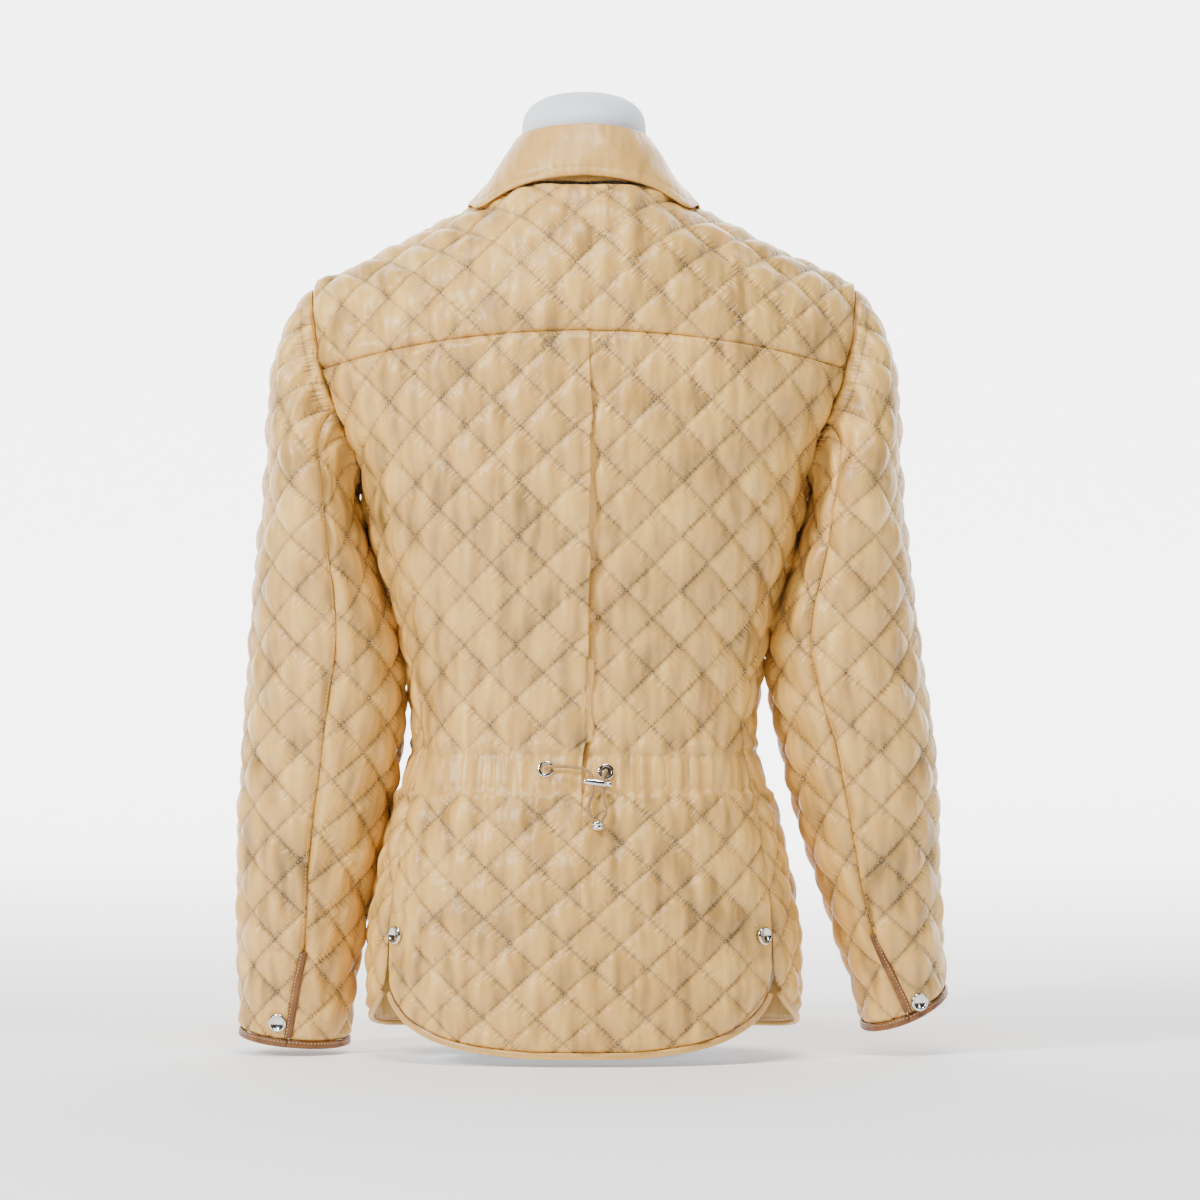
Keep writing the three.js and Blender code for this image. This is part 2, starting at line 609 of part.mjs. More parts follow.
// Seam lines of the body, as arc length s from the centre of the back and height z, for one half
const SIDE_PARTS = 16;
const ARMHOLE_PARTS = 8;
const SHOULDER_PARTS = 7;
const YOKE_PARTS = 10;
const NECK_PARTS = 4;
const HEM_PARTS = 10;
const RIDGE_GAP = 0.003;

function yokeHeight(x) {
  return YOKE.centre - YOKE.drop * (x / YOKE.reach) ** 2;
}

function sideLine(z, sign) {
  return lengthAtAngle(z, sideAngle(z)) + sign * ventShift(z);
}

const spot = (s, z) => ({ s, z });
const atX = (x, z, front) => spot(front ? halfRound(z) - lengthAtX(x, z, true) : lengthAtX(x, z, false), z);
const armholeX = (z) => armholeShare(z) * halfWidth(z);
const yokeEnd = yokeHeight(armholeX(yokeHeight(YOKE.reach)));
const shoulderTop = shoulderLine(SHOULDER_POINT);

const lines = {
  side: (sign) => along(SIDE_PARTS, (t) => {
    const z = VENT_TOP + (UNDERARM_Z - VENT_TOP) * t;
    return spot(sideLine(z, sign), z);
  }),
  armhole: (from, to, front) => along(ARMHOLE_PARTS, (t) => {
    const z = from + (to - from) * t;
    return atX(armholeX(z), z, front);
  }),
  shoulder: (front) => along(SHOULDER_PARTS, (t) => {
    const x = SHOULDER_POINT + (NECK_POINT - SHOULDER_POINT) * t;
    return atX(x, shoulderLine(x) - RIDGE_GAP, front);
  }),
  yoke: () => along(YOKE_PARTS, (t) => {
    const x = armholeX(yokeEnd) * (1 - t);
    return atX(x, yokeHeight(x), false);
  }),
  neck: (front) => {
    const rows = front ? NECK_FRONT : [...NECK_BACK].reverse();
    const at = through(rows, 'x', 'z');
    const last = NECK_POINT * NECK_START;
    return along(NECK_PARTS, (t) => atX(last * (1 - t), at(last * (1 - t)), front));
  },
  hem: (front, sign) => along(HEM_PARTS, (t) => {
    const share = 1 - (1 - t) ** HEM_CROWD;
    const z = (front ? hemFront : hemBack)(share);
    const side = sideLine(z, sign) + (front ? 1 : -1) * VENT_HALF;
    const centre = front ? halfRound(z) : 0;
    return spot(centre + (side - centre) * share, z);
  }),
  vent: (front, sign) => along(2, (t) => {
    const z = VENT_FOOT + (VENT_TOP - VENT_FOOT) * t;
    const open = VENT_HALF * (1 - t);
    return spot(sideLine(z, sign) + (front ? open : -open), z);
  }),
};

function toCloth(cloth, spots, front, sign) {
  return spots.map(({ s, z }) => {
    const u = front ? halfRound(z) - s + sign * twist(z) : sign * s - twist(z);
    return [u, cloth.vAt(u, z)];
  });
}

function waistPlain(v) {
  const low = smooth(CHANNEL.low - CHANNEL.fade, CHANNEL.low, v);
  return 1 - low * (1 - smooth(CHANNEL.high, CHANNEL.high + CHANNEL.fade, v));
}

function waistSink(v) {
  const middle = (CHANNEL.low + CHANNEL.high) / 2;
  return -CHANNEL.sink * Math.exp(-(((v - middle) / CHANNEL.spread) ** 2));
}

// The pleat: its left side stands up and laps over a sunk right side
function pleatShift(u, v) {
  const held = smooth(...PLEAT.bottom, v) * (1 - (1 - PLEAT.atTop) * smooth(...PLEAT.top, v));
  const fall = Math.max(0, 1 - Math.abs(u) / PLEAT.spread);
  return (u < 0 ? PLEAT.lift : -PLEAT.sink) * held * fall * fall;
}

// The quilting lies flat round a snap
function calm(places, u, v) {
  const rise = (p) => smooth(SNAP.plain - SNAP.fade, SNAP.plain, Math.hypot(u - p.u, v - p.v));
  return Math.min(1, ...places.map(rise));
}

function bodyHeight(u, v) {
  return diamond((u - LATTICE.column) / STEP, bodyRow(v)) * waistPlain(v);
}

const waistRows = [CHANNEL.low, (CHANNEL.low + CHANNEL.high) / 2, CHANNEL.high];
const lowRows = gridLines(0, CHANNEL.low - 8, LATTICE.lowStep, LATTICE.lowRow);
const highRows = gridLines(CHANNEL.high + 8, 760, STEP, LATTICE.row);
const bodyRows = [...lowRows, ...waistRows, ...highRows];
const bodyColumns = gridLines(-300, 300, STEP, LATTICE.column);
const PLEAT_HALF = 1;           // the pleat's two edges are this far from the centre line
const backColumns = [
  ...bodyColumns.filter((u) => u < 0), -PLEAT_HALF, PLEAT_HALF, ...bodyColumns.filter((u) => u > 0),
];
const everyOther = (list) => list.filter((value, i) => i % 2 === 0);

const back = bodyCloth(false, 1);
const backHalf = (sign) => [
  ...lines.hem(false, sign), ...lines.vent(false, sign), ...lines.side(sign),
  ...lines.armhole(UNDERARM_Z, yokeEnd, false), ...lines.yoke(),
];
const bothHalves = (half) => tidyOutline([
  ...toCloth(back, half(1), false, 1), ...toCloth(back, half(-1), false, -1).reverse(),
]);

const ventSnaps = [1, -1].map((sign) => ({
  sign, u: sign * (sideLine(VENT_SNAP.z, sign) - VENT_SNAP.inside) - twist(VENT_SNAP.z), v: VENT_SNAP.z,
}));

addMesh('back_body', clothPiece({
  cloth: back,
  outline: bothHalves(backHalf),
  us: backColumns,
  vs: bodyRows,
  innerUs: [
    ...everyOther(backColumns.filter((u) => u < -STEP)), -STEP / 2, -PLEAT_HALF, PLEAT_HALF, STEP / 2,
    ...everyOther(bodyColumns.filter((u) => u > STEP)),
  ],
  innerVs: everyOther(bodyRows),
  height: (u, v) => bodyHeight(u, v) * calm(ventSnaps, u, v),
  shift: (u, v) => pleatShift(u, v) + waistSink(v),
}), CLOTH);

const yokeHalf = () => [
  ...lines.yoke().reverse(), ...lines.armhole(yokeEnd, shoulderTop, false), ...lines.shoulder(false),
  ...lines.neck(false),
];
addMesh('back_yoke', clothPiece({
  cloth: back,
  outline: bothHalves(yokeHalf),
  us: bodyColumns,
  vs: bodyRows,
  innerUs: bodyColumns,
  innerVs: bodyRows,
  height: bodyHeight,
  shift: () => 0,
}), CLOTH);

// Fronts: the right one laps over the left at the centre
function frontHeight(u, v) {
  return bodyHeight(u, v) * smooth(...OVERLAP.plain, u);
}

function addFront(name, sign) {
  const cloth = bodyCloth(true, sign);
  const hem = toCloth(cloth, lines.hem(true, sign), true, sign);
  const rest = [
    ...lines.vent(true, sign), ...lines.side(sign), ...lines.armhole(UNDERARM_Z, shoulderTop, true),
    ...lines.shoulder(true), ...lines.neck(true),
  ];
  const edge = toCloth(cloth, rest, true, sign);
  const top = [-OVERLAP.reach, edge[edge.length - 1][1]];
  const bottom = [-OVERLAP.reach, hem[0][1]];
  const outline = tidyOutline([...hem, ...edge, ...sampled([top, bottom], 2 * STEP)]);
  const lift = sign > 0 ? OVERLAP.lift : 0;
  const columnsHere = bodyColumns.filter((u) => u > -OVERLAP.reach);
  addMesh(name, clothPiece({
    cloth,
    outline,
    us: columnsHere,
    vs: bodyRows,
    innerUs: columnsHere,
    innerVs: [...everyOther(lowRows), ...waistRows, ...everyOther(highRows.filter((v) => v < 400)),
      ...highRows.filter((v) => v >= 400)],
    height: frontHeight,
    shift: (u, v) => waistSink(v) + lift * (1 - smooth(OVERLAP.start, OVERLAP.fade, u)),
  }), CLOTH);
}

addFront('front_right', 1);
addFront('front_left', -1);

// Sleeves. A level ring is measured from the outer line (0 degrees) round the back (90) to the inside (180).
const SLEEVE_STEPS = 72;
const CAP_STEPS = 20;

function armholeCurve(sign, front) {
  const spots = along(60, (t) => {
    const z = shoulderTop + (UNDERARM_Z - shoulderTop) * t;
    const { s } = atX(armholeX(z), z, front);
    return bodyAt(sign * s, z);
  });
  const len = [0];
  spots.forEach((p, i) => {
    if (i) len.push(len[i - 1] + p.distanceTo(spots[i - 1]));
  });
  return (share) => {
    const want = share * len[len.length - 1];
    const i = Math.max(1, len.findIndex((l) => l >= want - 1e-9));
    const t = (want - len[i - 1]) / (len[i] - len[i - 1]);
    return spots[i - 1].clone().lerp(spots[i], t);
  };
}

function sleeveCloth({ sign, rings: rows, hind }, under) {
  const table = Object.fromEntries(['x', 'half', 'deep', 'y'].map((name) => [name, through(rows, 'z', name)]));
  const curves = { back: armholeCurve(sign, false), front: armholeCurve(sign, true) };
  const headPitch = through(HEAD, 'share', 'pitch');
  const headSwing = through(HEAD, 'share', 'swing');
  const sections = new Map();
  const section = (z) => {
    const key = z.toFixed(2);
    if (sections.has(key)) return sections.get(key);
    const spots = along(SLEEVE_STEPS, (t) => {
      const angle = 2 * Math.PI * t;
      return new THREE.Vector3(
        sign * (table.x(z) + table.half(z) * Math.cos(angle)),
        table.y(z) - table.deep(z) * Math.sin(angle),
        z,
      );
    });
    const len = [0];
    spots.forEach((p, i) => {
      if (i) len.push(len[i - 1] + p.distanceTo(spots[i - 1]));
    });
    const out = { spots, len, round: len[SLEEVE_STEPS] };
    sections.set(key, out);
    return out;
  };
  const lengthAt = (z, deg) => {
    const at = (deg / 360) * SLEEVE_STEPS;
    const { len } = section(z);
    const i = Math.floor(at);
    return len[i] + (len[Math.min(i + 1, SLEEVE_STEPS)] - len[i]) * (at - i);
  };
  const onRing = (s, z) => {
    const { spots, len, round } = section(z);
    const want = ((s % round) + round) % round;
    let i = len.findIndex((l) => l > want);
    if (i < 1) i = SLEEVE_STEPS;
    return spots[i - 1].clone().lerp(spots[i], (want - len[i - 1]) / (len[i] - len[i - 1]));
  };
  const sOf = (u, z) => (under ? section(z).round / 2 + u : u);
  const caps = new Map();
  const cap = (u) => {
    const key = u.toFixed(2);
    if (caps.has(key)) return caps.get(key);
    const { round } = section(SLEEVE_TOP);
    const s = ((sOf(u, SLEEVE_TOP) % round) + round) % round;
    const isBack = s <= round / 2;
    const share = (isBack ? s : round - s) / (round / 2);
    const start = (isBack ? curves.back : curves.front)(Math.min(share, 1));
    const outward = new THREE.Vector3(sign, 0, 0);
    start.addScaledVector(outward, HEAD_GAP + UNDERARM_LIFT * share ** 3);
    const end = onRing(s, SLEEVE_TOP);
    const below = onRing(s * (section(SLEEVE_TOP - 20).round / round), SLEEVE_TOP - 20);
    const pull = start.distanceTo(end) * HEAD_PULL;
    const pitch = radians(headPitch(share));
    const leave = new THREE.Vector3(
      sign * Math.cos(pitch),
      (isBack ? -1 : 1) * headSwing(share),
      -Math.sin(pitch),
    ).normalize().multiplyScalar(pull);
    const arrive = below.sub(end).normalize().multiplyScalar(pull);
    const spots = along(CAP_STEPS, (t) => {
      const [t2, t3] = [t * t, t * t * t];
      return start.clone().multiplyScalar(2 * t3 - 3 * t2 + 1).addScaledVector(leave, t3 - 2 * t2 + t)
        .addScaledVector(end, 3 * t2 - 2 * t3).addScaledVector(arrive, t3 - t2);
    }).reverse();
    const len = [0];
    spots.forEach((p, i) => {
      if (i) len.push(len[i - 1] + p.distanceTo(spots[i - 1]));
    });
    const out = { spots, len };
    caps.set(key, out);
    return out;
  };
  return {
    point: (u, v) => {
      if (v <= SLEEVE_TOP) return onRing(sOf(u, v), v);
      const { spots, len } = cap(u);
      let i = len.findIndex((l) => l >= v - SLEEVE_TOP);
      if (i < 1) i = CAP_STEPS;
      const t = (v - SLEEVE_TOP - len[i - 1]) / (len[i] - len[i - 1]);
      return spots[i - 1].clone().lerp(spots[i], t);
    },
    topOf: (u) => SLEEVE_TOP + cap(u).len[CAP_STEPS],
    hindAt: (z) => lengthAt(z, through(hind, 'z', 'deg')(z)),
    frontAt: (z) => lengthAt(z, 360 - FRONT_SEAM),
    roundAt: (z) => section(z).round,
    lengthAt,
    flip: sign > 0,
  };
}

const SLEEVE_LATTICE = { column: 10, row: 8 };
const sleeveRows = gridLines(0, 640, STEP, SLEEVE_LATTICE.row);
const sleeveColumns = gridLines(-160, 160, STEP, SLEEVE_LATTICE.column);

function cuffLevel(end, deg) {
  return end.level + end.out * Math.cos(radians(deg)) + end.back * Math.sin(radians(deg));
}

// A sleeve piece's cuff edge, in cloth coordinates
function cuffPath(cloth, { hind, end }, under) {
  const hindDeg = through(hind, 'z', 'deg')(end.level);
  const [degA, degB] = under ? [hindDeg, 360 - FRONT_SEAM] : [-FRONT_SEAM, hindDeg];
  return along(8, (t) => {
    const deg = degA + (degB - degA) * t;
    const z = cuffLevel(end, deg);
    const s = cloth.lengthAt(z, (deg + 360) % 360) - (deg < 0 ? cloth.roundAt(z) : 0);
    return [under ? s - cloth.roundAt(z) / 2 : s, z];
  });
}

// The two long edges of a sleeve piece, its cuff edge and its head
function sleeveOutline(cloth, side, under) {
  const { end } = side;
  const round = (z) => cloth.roundAt(z);
  const hindU = (z) => (under ? cloth.hindAt(z) - round(z) / 2 : cloth.hindAt(z));
  const frontU = (z) => (under ? cloth.frontAt(z) - round(z) / 2 : cloth.frontAt(z) - round(z));
  const cuff = cuffPath(cloth, side, under);
  const ends = [cuff[0][1], cuff[cuff.length - 1][1]];
  const [low, lowFront] = under ? ends : ends.reverse();
  const edge = (at, from) => along(20, (t) => {
    const z = from + 8 + (SLEEVE_TOP - from - 8) * t;
    return [at(z), z];
  });
  const climb = (u) => along(3, (t) => [u, SLEEVE_TOP + (cloth.topOf(u) - SLEEVE_TOP) * t]).slice(1, 3);
  const first = under ? edge(frontU, lowFront) : edge(hindU, low);
  const second = under ? edge(hindU, low) : edge(frontU, lowFront);
  const [uA, uB] = [first[20][0], second[20][0]];
  const head = along(under ? 9 : 16, (t) => {
    const u = uA + (uB - uA) * t;
    return [u, cloth.topOf(u)];
  });
  return tidyOutline([...cuff, ...first, ...climb(uA), ...head, ...climb(uB).reverse(), ...second.reverse()]);
}

function sleeveHeight(u, v) {
  return diamond((u - SLEEVE_LATTICE.column) / STEP, (v - SLEEVE_LATTICE.row) / STEP);
}

function cuffSnap(cloth, { snap, rings: rows }) {
  const across = (snap.x - through(rows, 'z', 'x')(snap.z)) / through(rows, 'z', 'half')(snap.z);
  return { u: cloth.lengthAt(snap.z, THREE.MathUtils.radToDeg(Math.acos(across))), v: snap.z };
}

Object.entries(SLEEVES).forEach(([name, side]) => {
  [false, true].forEach((under) => {
    const cloth = sleeveCloth(side, under);
    const outline = sleeveOutline(cloth, side, under);
    const snaps = under ? [] : [cuffSnap(cloth, side)];
    addMesh(`${under ? 'under' : 'upper'}_sleeve_${name}`, clothPiece({
      cloth,
      outline,
      us: sleeveColumns,
      vs: sleeveRows,
      innerUs: sleeveColumns,
      innerVs: everyOther(sleeveRows),
      height: (u, v) => sleeveHeight(u, v) * calm(snaps, u, v),
      shift: () => 0,
    }), CLOTH);
  });
});

// Closed bodies from two matching grids of points
function gridBody(outer, inner, look, name) {
  const rows = outer.length;
  const cols = outer[0].length;
  const vertices = [...outer.flat(), ...inner.flat()];
  const at = (side, i, j) => side * rows * cols + i * cols + j;
  const triangles = [];
  const quad = (a, b, c, d) => triangles.push([a, b, c], [a, c, d]);
  for (let i = 0; i + 1 < rows; i += 1) {
    for (let j = 0; j + 1 < cols; j += 1) {
      quad(at(0, i, j), at(0, i, j + 1), at(0, i + 1, j + 1), at(0, i + 1, j));
      quad(at(1, i, j), at(1, i + 1, j), at(1, i + 1, j + 1), at(1, i, j + 1));
    }
  }
  for (let i = 0; i + 1 < rows; i += 1) {
    quad(at(0, i, 0), at(0, i + 1, 0), at(1, i + 1, 0), at(1, i, 0));
    quad(at(0, i + 1, cols - 1), at(0, i, cols - 1), at(1, i, cols - 1), at(1, i + 1, cols - 1));
  }
  for (let j = 0; j + 1 < cols; j += 1) {
    quad(at(0, 0, j + 1), at(0, 0, j), at(1, 0, j), at(1, 0, j + 1));
    quad(at(0, rows - 1, j), at(0, rows - 1, j + 1), at(1, rows - 1, j + 1), at(1, rows - 1, j));
  }
  return addMesh(name, closedGeometry(vertices, triangles), look);
}

// A bar through closed loops of points, capped at both ends
function barBody(loops, look, name) {
  const sides = loops[0].length;
  const triangles = [];
  for (let i = 0; i + 1 < loops.length; i += 1) {
    for (let k = 0; k < sides; k += 1) {
      const [a, b] = [i * sides + k, i * sides + ((k + 1) % sides)];
      triangles.push([a, b, b + sides], [a, b + sides, a + sides]);
    }
  }
  const last = (loops.length - 1) * sides;
  for (let k = 1; k + 1 < sides; k += 1) {
    triangles.push([0, k + 1, k], [last, last + k, last + k + 1]);
  }
  return addMesh(name, closedGeometry(loops.flat(), triangles), look);
}

// A binding along an edge: its section lies beyond the edge (out) and about the wall (up)
const BINDING_SECTION = [
  { out: 0.45, up: -0.5 }, { out: 0.45, up: 2.3 }, { out: 0.75, up: 2.9 }, { out: 1, up: 0.9 },
  { out: 0.75, up: -0.9 },
];

function addBinding(name, cloth, path, wide, shift, look) {
  const loops = path.map(([u, v], i) => {
    const [u0, v0] = path[Math.max(i - 1, 0)];
    const [u1, v1] = path[Math.min(i + 1, path.length - 1)];
    const t = new THREE.Vector2(u1 - u0, v1 - v0).normalize();
    return BINDING_SECTION.map(({ out, up }, k) => {
      const away = k < 2 ? out : out * wide;
      const [pu, pv] = [u + t.y * away, v - t.x * away];
      return cloth.point(pu, pv).addScaledVector(normalAt(cloth, pu, pv), up + shift(u, v));
    });
  });
  barBody(loops, look, name);
}

// Collar: the fall lies on the shoulders from the fold line, the stand rises inside it from the neck seam
const edgeTables = (rows) => ['x', 'z', 'front'].map((value) => through(rows, 't', value));

function neckSpot([xAt, zAt, frontAt], t, lift) {
  const share = Math.abs(t);
  const x = Math.max(xAt(share), 0);
  const z = Math.min(zAt(share), shoulderLine(x) - COLLAR.ridgeClear);
  const front = frontAt(share) > 0.5;
  const { s } = atX(x, z, front);
  const p = bodyAt(Math.sign(t || 1) * s, z);
  const e = 2;
  const a = bodyAt(Math.sign(t || 1) * s + e, z).sub(bodyAt(Math.sign(t || 1) * s - e, z));
  const b = bodyAt(Math.sign(t || 1) * s, z).sub(bodyAt(Math.sign(t || 1) * s, z - e));
  return p.addScaledVector(a.cross(b).normalize(), lift);
}

function foldSpot(t, grow, drop = 0) {
  const angle = radians(COLLAR_FOLD.reach) * t;
  const deep = Math.cos(angle) > 0 ? COLLAR_FOLD.back : COLLAR_FOLD.front;
  return new THREE.Vector3(
    (COLLAR_FOLD.half + grow) * Math.sin(angle),
    COLLAR_FOLD.y - (deep + grow) * Math.cos(angle),
    through(COLLAR_FOLD_HEIGHT, 't', 'z')(Math.abs(t)) - drop,
  );
}

// Moves a point off the body, forwards or backwards, where the body reaches as high as the point
function clearOfBody(p, lift) {
  const x = Math.abs(p.x);
  if (p.z > shoulderLine(x) - 1) return p;
  const front = p.y > MID_Y;
  const { s } = atX(x, p.z, front);
  const { y } = bodyAt(s, p.z);
  const clear = lift * COLLAR.slope;
  return new THREE.Vector3(p.x, front ? Math.max(p.y, y + clear) : Math.min(p.y, y - clear), p.z);
}

function addCollar() {
  const edge = edgeTables(COLLAR_EDGE);
  const seam = edgeTables(NECK_SEAM);
  const stations = along(2 * COLLAR.columns, (k) => 2 * k - 1);
  const fall = (grow) => along(COLLAR.rows, (i) => stations.map((t) => {
    const from = foldSpot(t, grow, 0);
    const to = neckSpot(edge, t, COLLAR.lie + grow);
    const outward = new THREE.Vector3(from.x, from.y - COLLAR_FOLD.y, 0).normalize();
    const middle = from.clone().lerp(to, 0.4).addScaledVector(outward, COLLAR.bulge);
    const p = from.multiplyScalar((1 - i) ** 2);
    p.addScaledVector(middle, 2 * i * (1 - i)).addScaledVector(to, i * i);
    return i === 0 || i === 1 ? p : clearOfBody(p, COLLAR.lie + grow);
  }));
  gridBody(fall(COLLAR.thick), fall(0), CLOTH, 'collar_fall');
  const stand = (grow) => along(2, (i) => stations.map((t) => {
    const top = foldSpot(t, grow - COLLAR.standGap, COLLAR.standDrop);
    const foot = neckSpot(seam, t, 0);
    const inward = new THREE.Vector3(-foot.x, COLLAR_FOLD.y - foot.y, 0).normalize();
    foot.addScaledVector(inward, COLLAR.standIn - grow);
    foot.z += COLLAR.standRise;
    return foot.lerp(top, i);
  }));
  gridBody(stand(0), stand(-COLLAR.thick), CLOTH, 'collar_stand');
}

addCollar();

// Hem bindings
const hemPath = (front, sign) => {
  const rows = lines.hem(front, sign);
  return rows.slice(0, Math.round(rows.length * HEM_BOUND));
};
const backHem = [
  ...toCloth(back, hemPath(false, -1), false, -1).reverse(),
  ...toCloth(back, hemPath(false, 1), false, 1).slice(1),
];
addBinding('hem_binding_back', back, backHem, HEM_WIDE, (u, v) => waistSink(v), CLOTH);
[['right', 1], ['left', -1]].forEach(([name, sign]) => {
  const cloth = bodyCloth(true, sign);
  const rows = toCloth(cloth, hemPath(true, sign), true, sign);
  const path = [[-OVERLAP.reach + 4, rows[0][1]], ...rows.filter(([u]) => u > -OVERLAP.reach + 8)];
  const lift = sign > 0 ? OVERLAP.lift : 0;
  addBinding(`hem_binding_${name}`, cloth, path, HEM_WIDE,
    (u) => lift * (1 - smooth(OVERLAP.start, OVERLAP.fade, u)), CLOTH);
});

// Leather: round each cuff edge, and up the edge of each cuff tab
const LEATHER_WIDE = 5.6;
const STRIP = { half: 2.8, low: 2.6, high: 4.2, steps: 6 };
Object.entries(SLEEVES).forEach(([name, side]) => {
  [false, true].forEach((under) => {
    const cloth = sleeveCloth(side, under);
    const path = cuffPath(cloth, side, under).map(([u, v], i, all) => [
      u + (i === 0 ? SEAM : 0) - (i === all.length - 1 ? SEAM : 0), v,
    ]);
    const part = under ? 'under' : 'upper';
    addBinding(`cuff_binding_${part}_${name}`, cloth, path, LEATHER_WIDE, () => 0, LEATHER);
  });
  const cloth = sleeveCloth(side, false);
  const low = cuffLevel(side.end, 90) + 4;
  const loops = along(STRIP.steps, (t) => {
    const z = low + (side.tabTop - low) * t;
    const u = cloth.hindAt(z);
    return [[-1, 0], [-0.8, 1], [0.8, 1], [1, 0]].map(([across, up]) => {
      const at = u + across * STRIP.half;
      const height = STRIP.low + (STRIP.high - STRIP.low) * up;
      return cloth.point(at, z).addScaledVector(normalAt(cloth, at, z), height);
    });
  });
  barBody(loops, LEATHER, `cuff_tab_edge_${name}`);
});

// The dress form: level slices of the body drawn in, and a short neck with a rounded cap
function ringsBody(loops) {
  const sides = loops[0].length;
  const triangles = [];
  for (let i = 0; i + 1 < loops.length; i += 1) {
    for (let k = 0; k < sides; k += 1) {
      const [a, b] = [i * sides + k, i * sides + ((k + 1) % sides)];
      triangles.push([a, b, b + sides], [a, b + sides, a + sides]);
    }
  }
  const vertices = loops.flat();
  [0, loops.length - 1].forEach((i) => {
    const middle = loops[i].reduce((sum, p) => sum.add(p), new THREE.Vector3()).divideScalar(sides);
    vertices.push(middle);
    for (let k = 0; k < sides; k += 1) {
      const [a, b] = [i * sides + k, i * sides + ((k + 1) % sides)];
      triangles.push(i ? [a, b, vertices.length - 1] : [b, a, vertices.length - 1]);
    }
  });
  return closedGeometry(vertices, triangles);
}

const formDrop = through(FORM_DROP, 'x', 'drop');

function formSlice(z) {
  const wide = halfWidth(z) * through(FORM, 'z', 'wide')(z);
  const deep = through(FORM, 'z', 'deep')(z);
  let reach = wide;
  while (reach > 1 && shoulderLine(reach) - formDrop(reach) < z + 0.2) reach -= 0.5;
  return along(FORM_SIDES - 1, (t) => {
    const angle = (t * 2 * Math.PI * (FORM_SIDES - 1)) / FORM_SIDES;
    const x = reach * Math.sin(angle);
    const front = Math.cos(angle) < 0;
    const full = deep * (front ? frontDepth(z) : backDepth(z));
    const round = (1 - Math.min(1, Math.abs(x) / wide) ** ROUND) ** (1 / ROUND);
    const y = full * round * shoulderTurn(Math.abs(x), z, front, formDrop(Math.abs(x)));
    return new THREE.Vector3(x, MID_Y + (front ? y : -y), z);
  });
}

function neckSlice(z) {
  const { half, back: behind, front, y, dome, top } = NECK_FORM;
  const rise = Math.max(0, (z - dome) / (top - dome));
  const share = Math.max(0.02, (1 - rise ** 2.4) ** (1 / 2.4));
  return along(FORM_SIDES - 1, (t) => {
    const angle = (t * 2 * Math.PI * (FORM_SIDES - 1)) / FORM_SIDES;
    const deep = Math.cos(angle) > 0 ? behind : front;
    return new THREE.Vector3(half * share * Math.sin(angle), y - deep * share * Math.cos(angle), z);
  });
}

function asSolid(geometry) {
  const bare = geometry.clone();
  ['normal', 'uv'].forEach((name) => bare.deleteAttribute(name));
  const merged = BufferGeometryUtils.mergeVertices(bare, 1e-4);
  return new wasm.Manifold(new wasm.Mesh({
    numProp: 3,
    vertProperties: merged.attributes.position.array,
    triVerts: new Uint32Array(merged.index.array),
  }));
}

function asGeometry(solid) {
  const { vertProperties, triVerts } = solid.getMesh();
  const geometry = new THREE.BufferGeometry();
  geometry.setAttribute('position', new THREE.BufferAttribute(new Float32Array(vertProperties), 3));
  geometry.setIndex(new THREE.BufferAttribute(new Uint32Array(triVerts), 1));
  return geometry;
}

const neckLevels = [NECK_FORM.foot, 600, 650, NECK_FORM.dome, 702, 709, 714, 718, 720.5, NECK_FORM.top];
const torso = asSolid(ringsBody(FORM_LEVELS.map(formSlice)));
const neck = asSolid(ringsBody(neckLevels.map(neckSlice)));
addMesh('dress_form', asGeometry(torso.add(neck)), LINEN);

// Snaps: a cap with a raised rim, standing on the cloth
function capProfile(radius, tall) {
  const rows = [
    { r: 0, h: 0 }, { r: 0.86, h: 0 }, { r: 1, h: 0.25 }, { r: 0.98, h: 0.7 }, { r: 0.82, h: 1 },
    { r: 0.62, h: 0.85 }, { r: 0.5, h: 0.5 }, { r: 0, h: 0.42 },
  ];
  return rows.map(({ r, h }) => new THREE.Vector2(r * radius, h * tall));
}

function standOn(mesh, cloth, u, v, lift) {
  const n = normalAt(cloth, u, v);
  mesh.position.copy(cloth.point(u, v).addScaledVector(n, WALL + lift));
  mesh.quaternion.setFromUnitVectors(new THREE.Vector3(0, 1, 0), n);
  return mesh;
}

function addSnap(name, cloth, u, v, lift = 0) {
  const cap = new THREE.LatheGeometry(capProfile(SNAP.radius, SNAP.tall), 12);
  return standOn(addMesh(name, cap, STEEL), cloth, u, v, SNAP.lift + lift);
}

ventSnaps.forEach(({ sign, u, v }) => addSnap(`vent_snap_${sign > 0 ? 'right' : 'left'}`, back, u, v));
Object.entries(SLEEVES).forEach(([name, side]) => {
  const cloth = sleeveCloth(side, false);
  const { u, v } = cuffSnap(cloth, side);
  addSnap(`cuff_snap_${name}`, cloth, u, v);
});

const frontCloth = bodyCloth(true, 1);
for (let k = 0; k < FRONT_SNAPS.count; k += 1) {
  const v = FRONT_SNAPS.from + k * FRONT_SNAPS.step;
  addSnap(`front_snap_${k + 1}`, frontCloth, 0, v, OVERLAP.lift + waistSink(v));
}

// Waist fasteners: two eyelets, two ends of drawcord, a cord lock and the clip at the cord's ends
const flatBack = (x, z) => {
  const sign = Math.sign(x) || 1;
  const s = sign * lengthAtX(Math.abs(x), z, false);
  return { u: s - twist(z), v: z };
};

function offBack({ x, z, off }) {
  const { u, v } = flatBack(x, z);
  const n = normalAt(back, u, v);
  return back.point(u, v).addScaledVector(n, WALL + waistSink(v) + off);
}

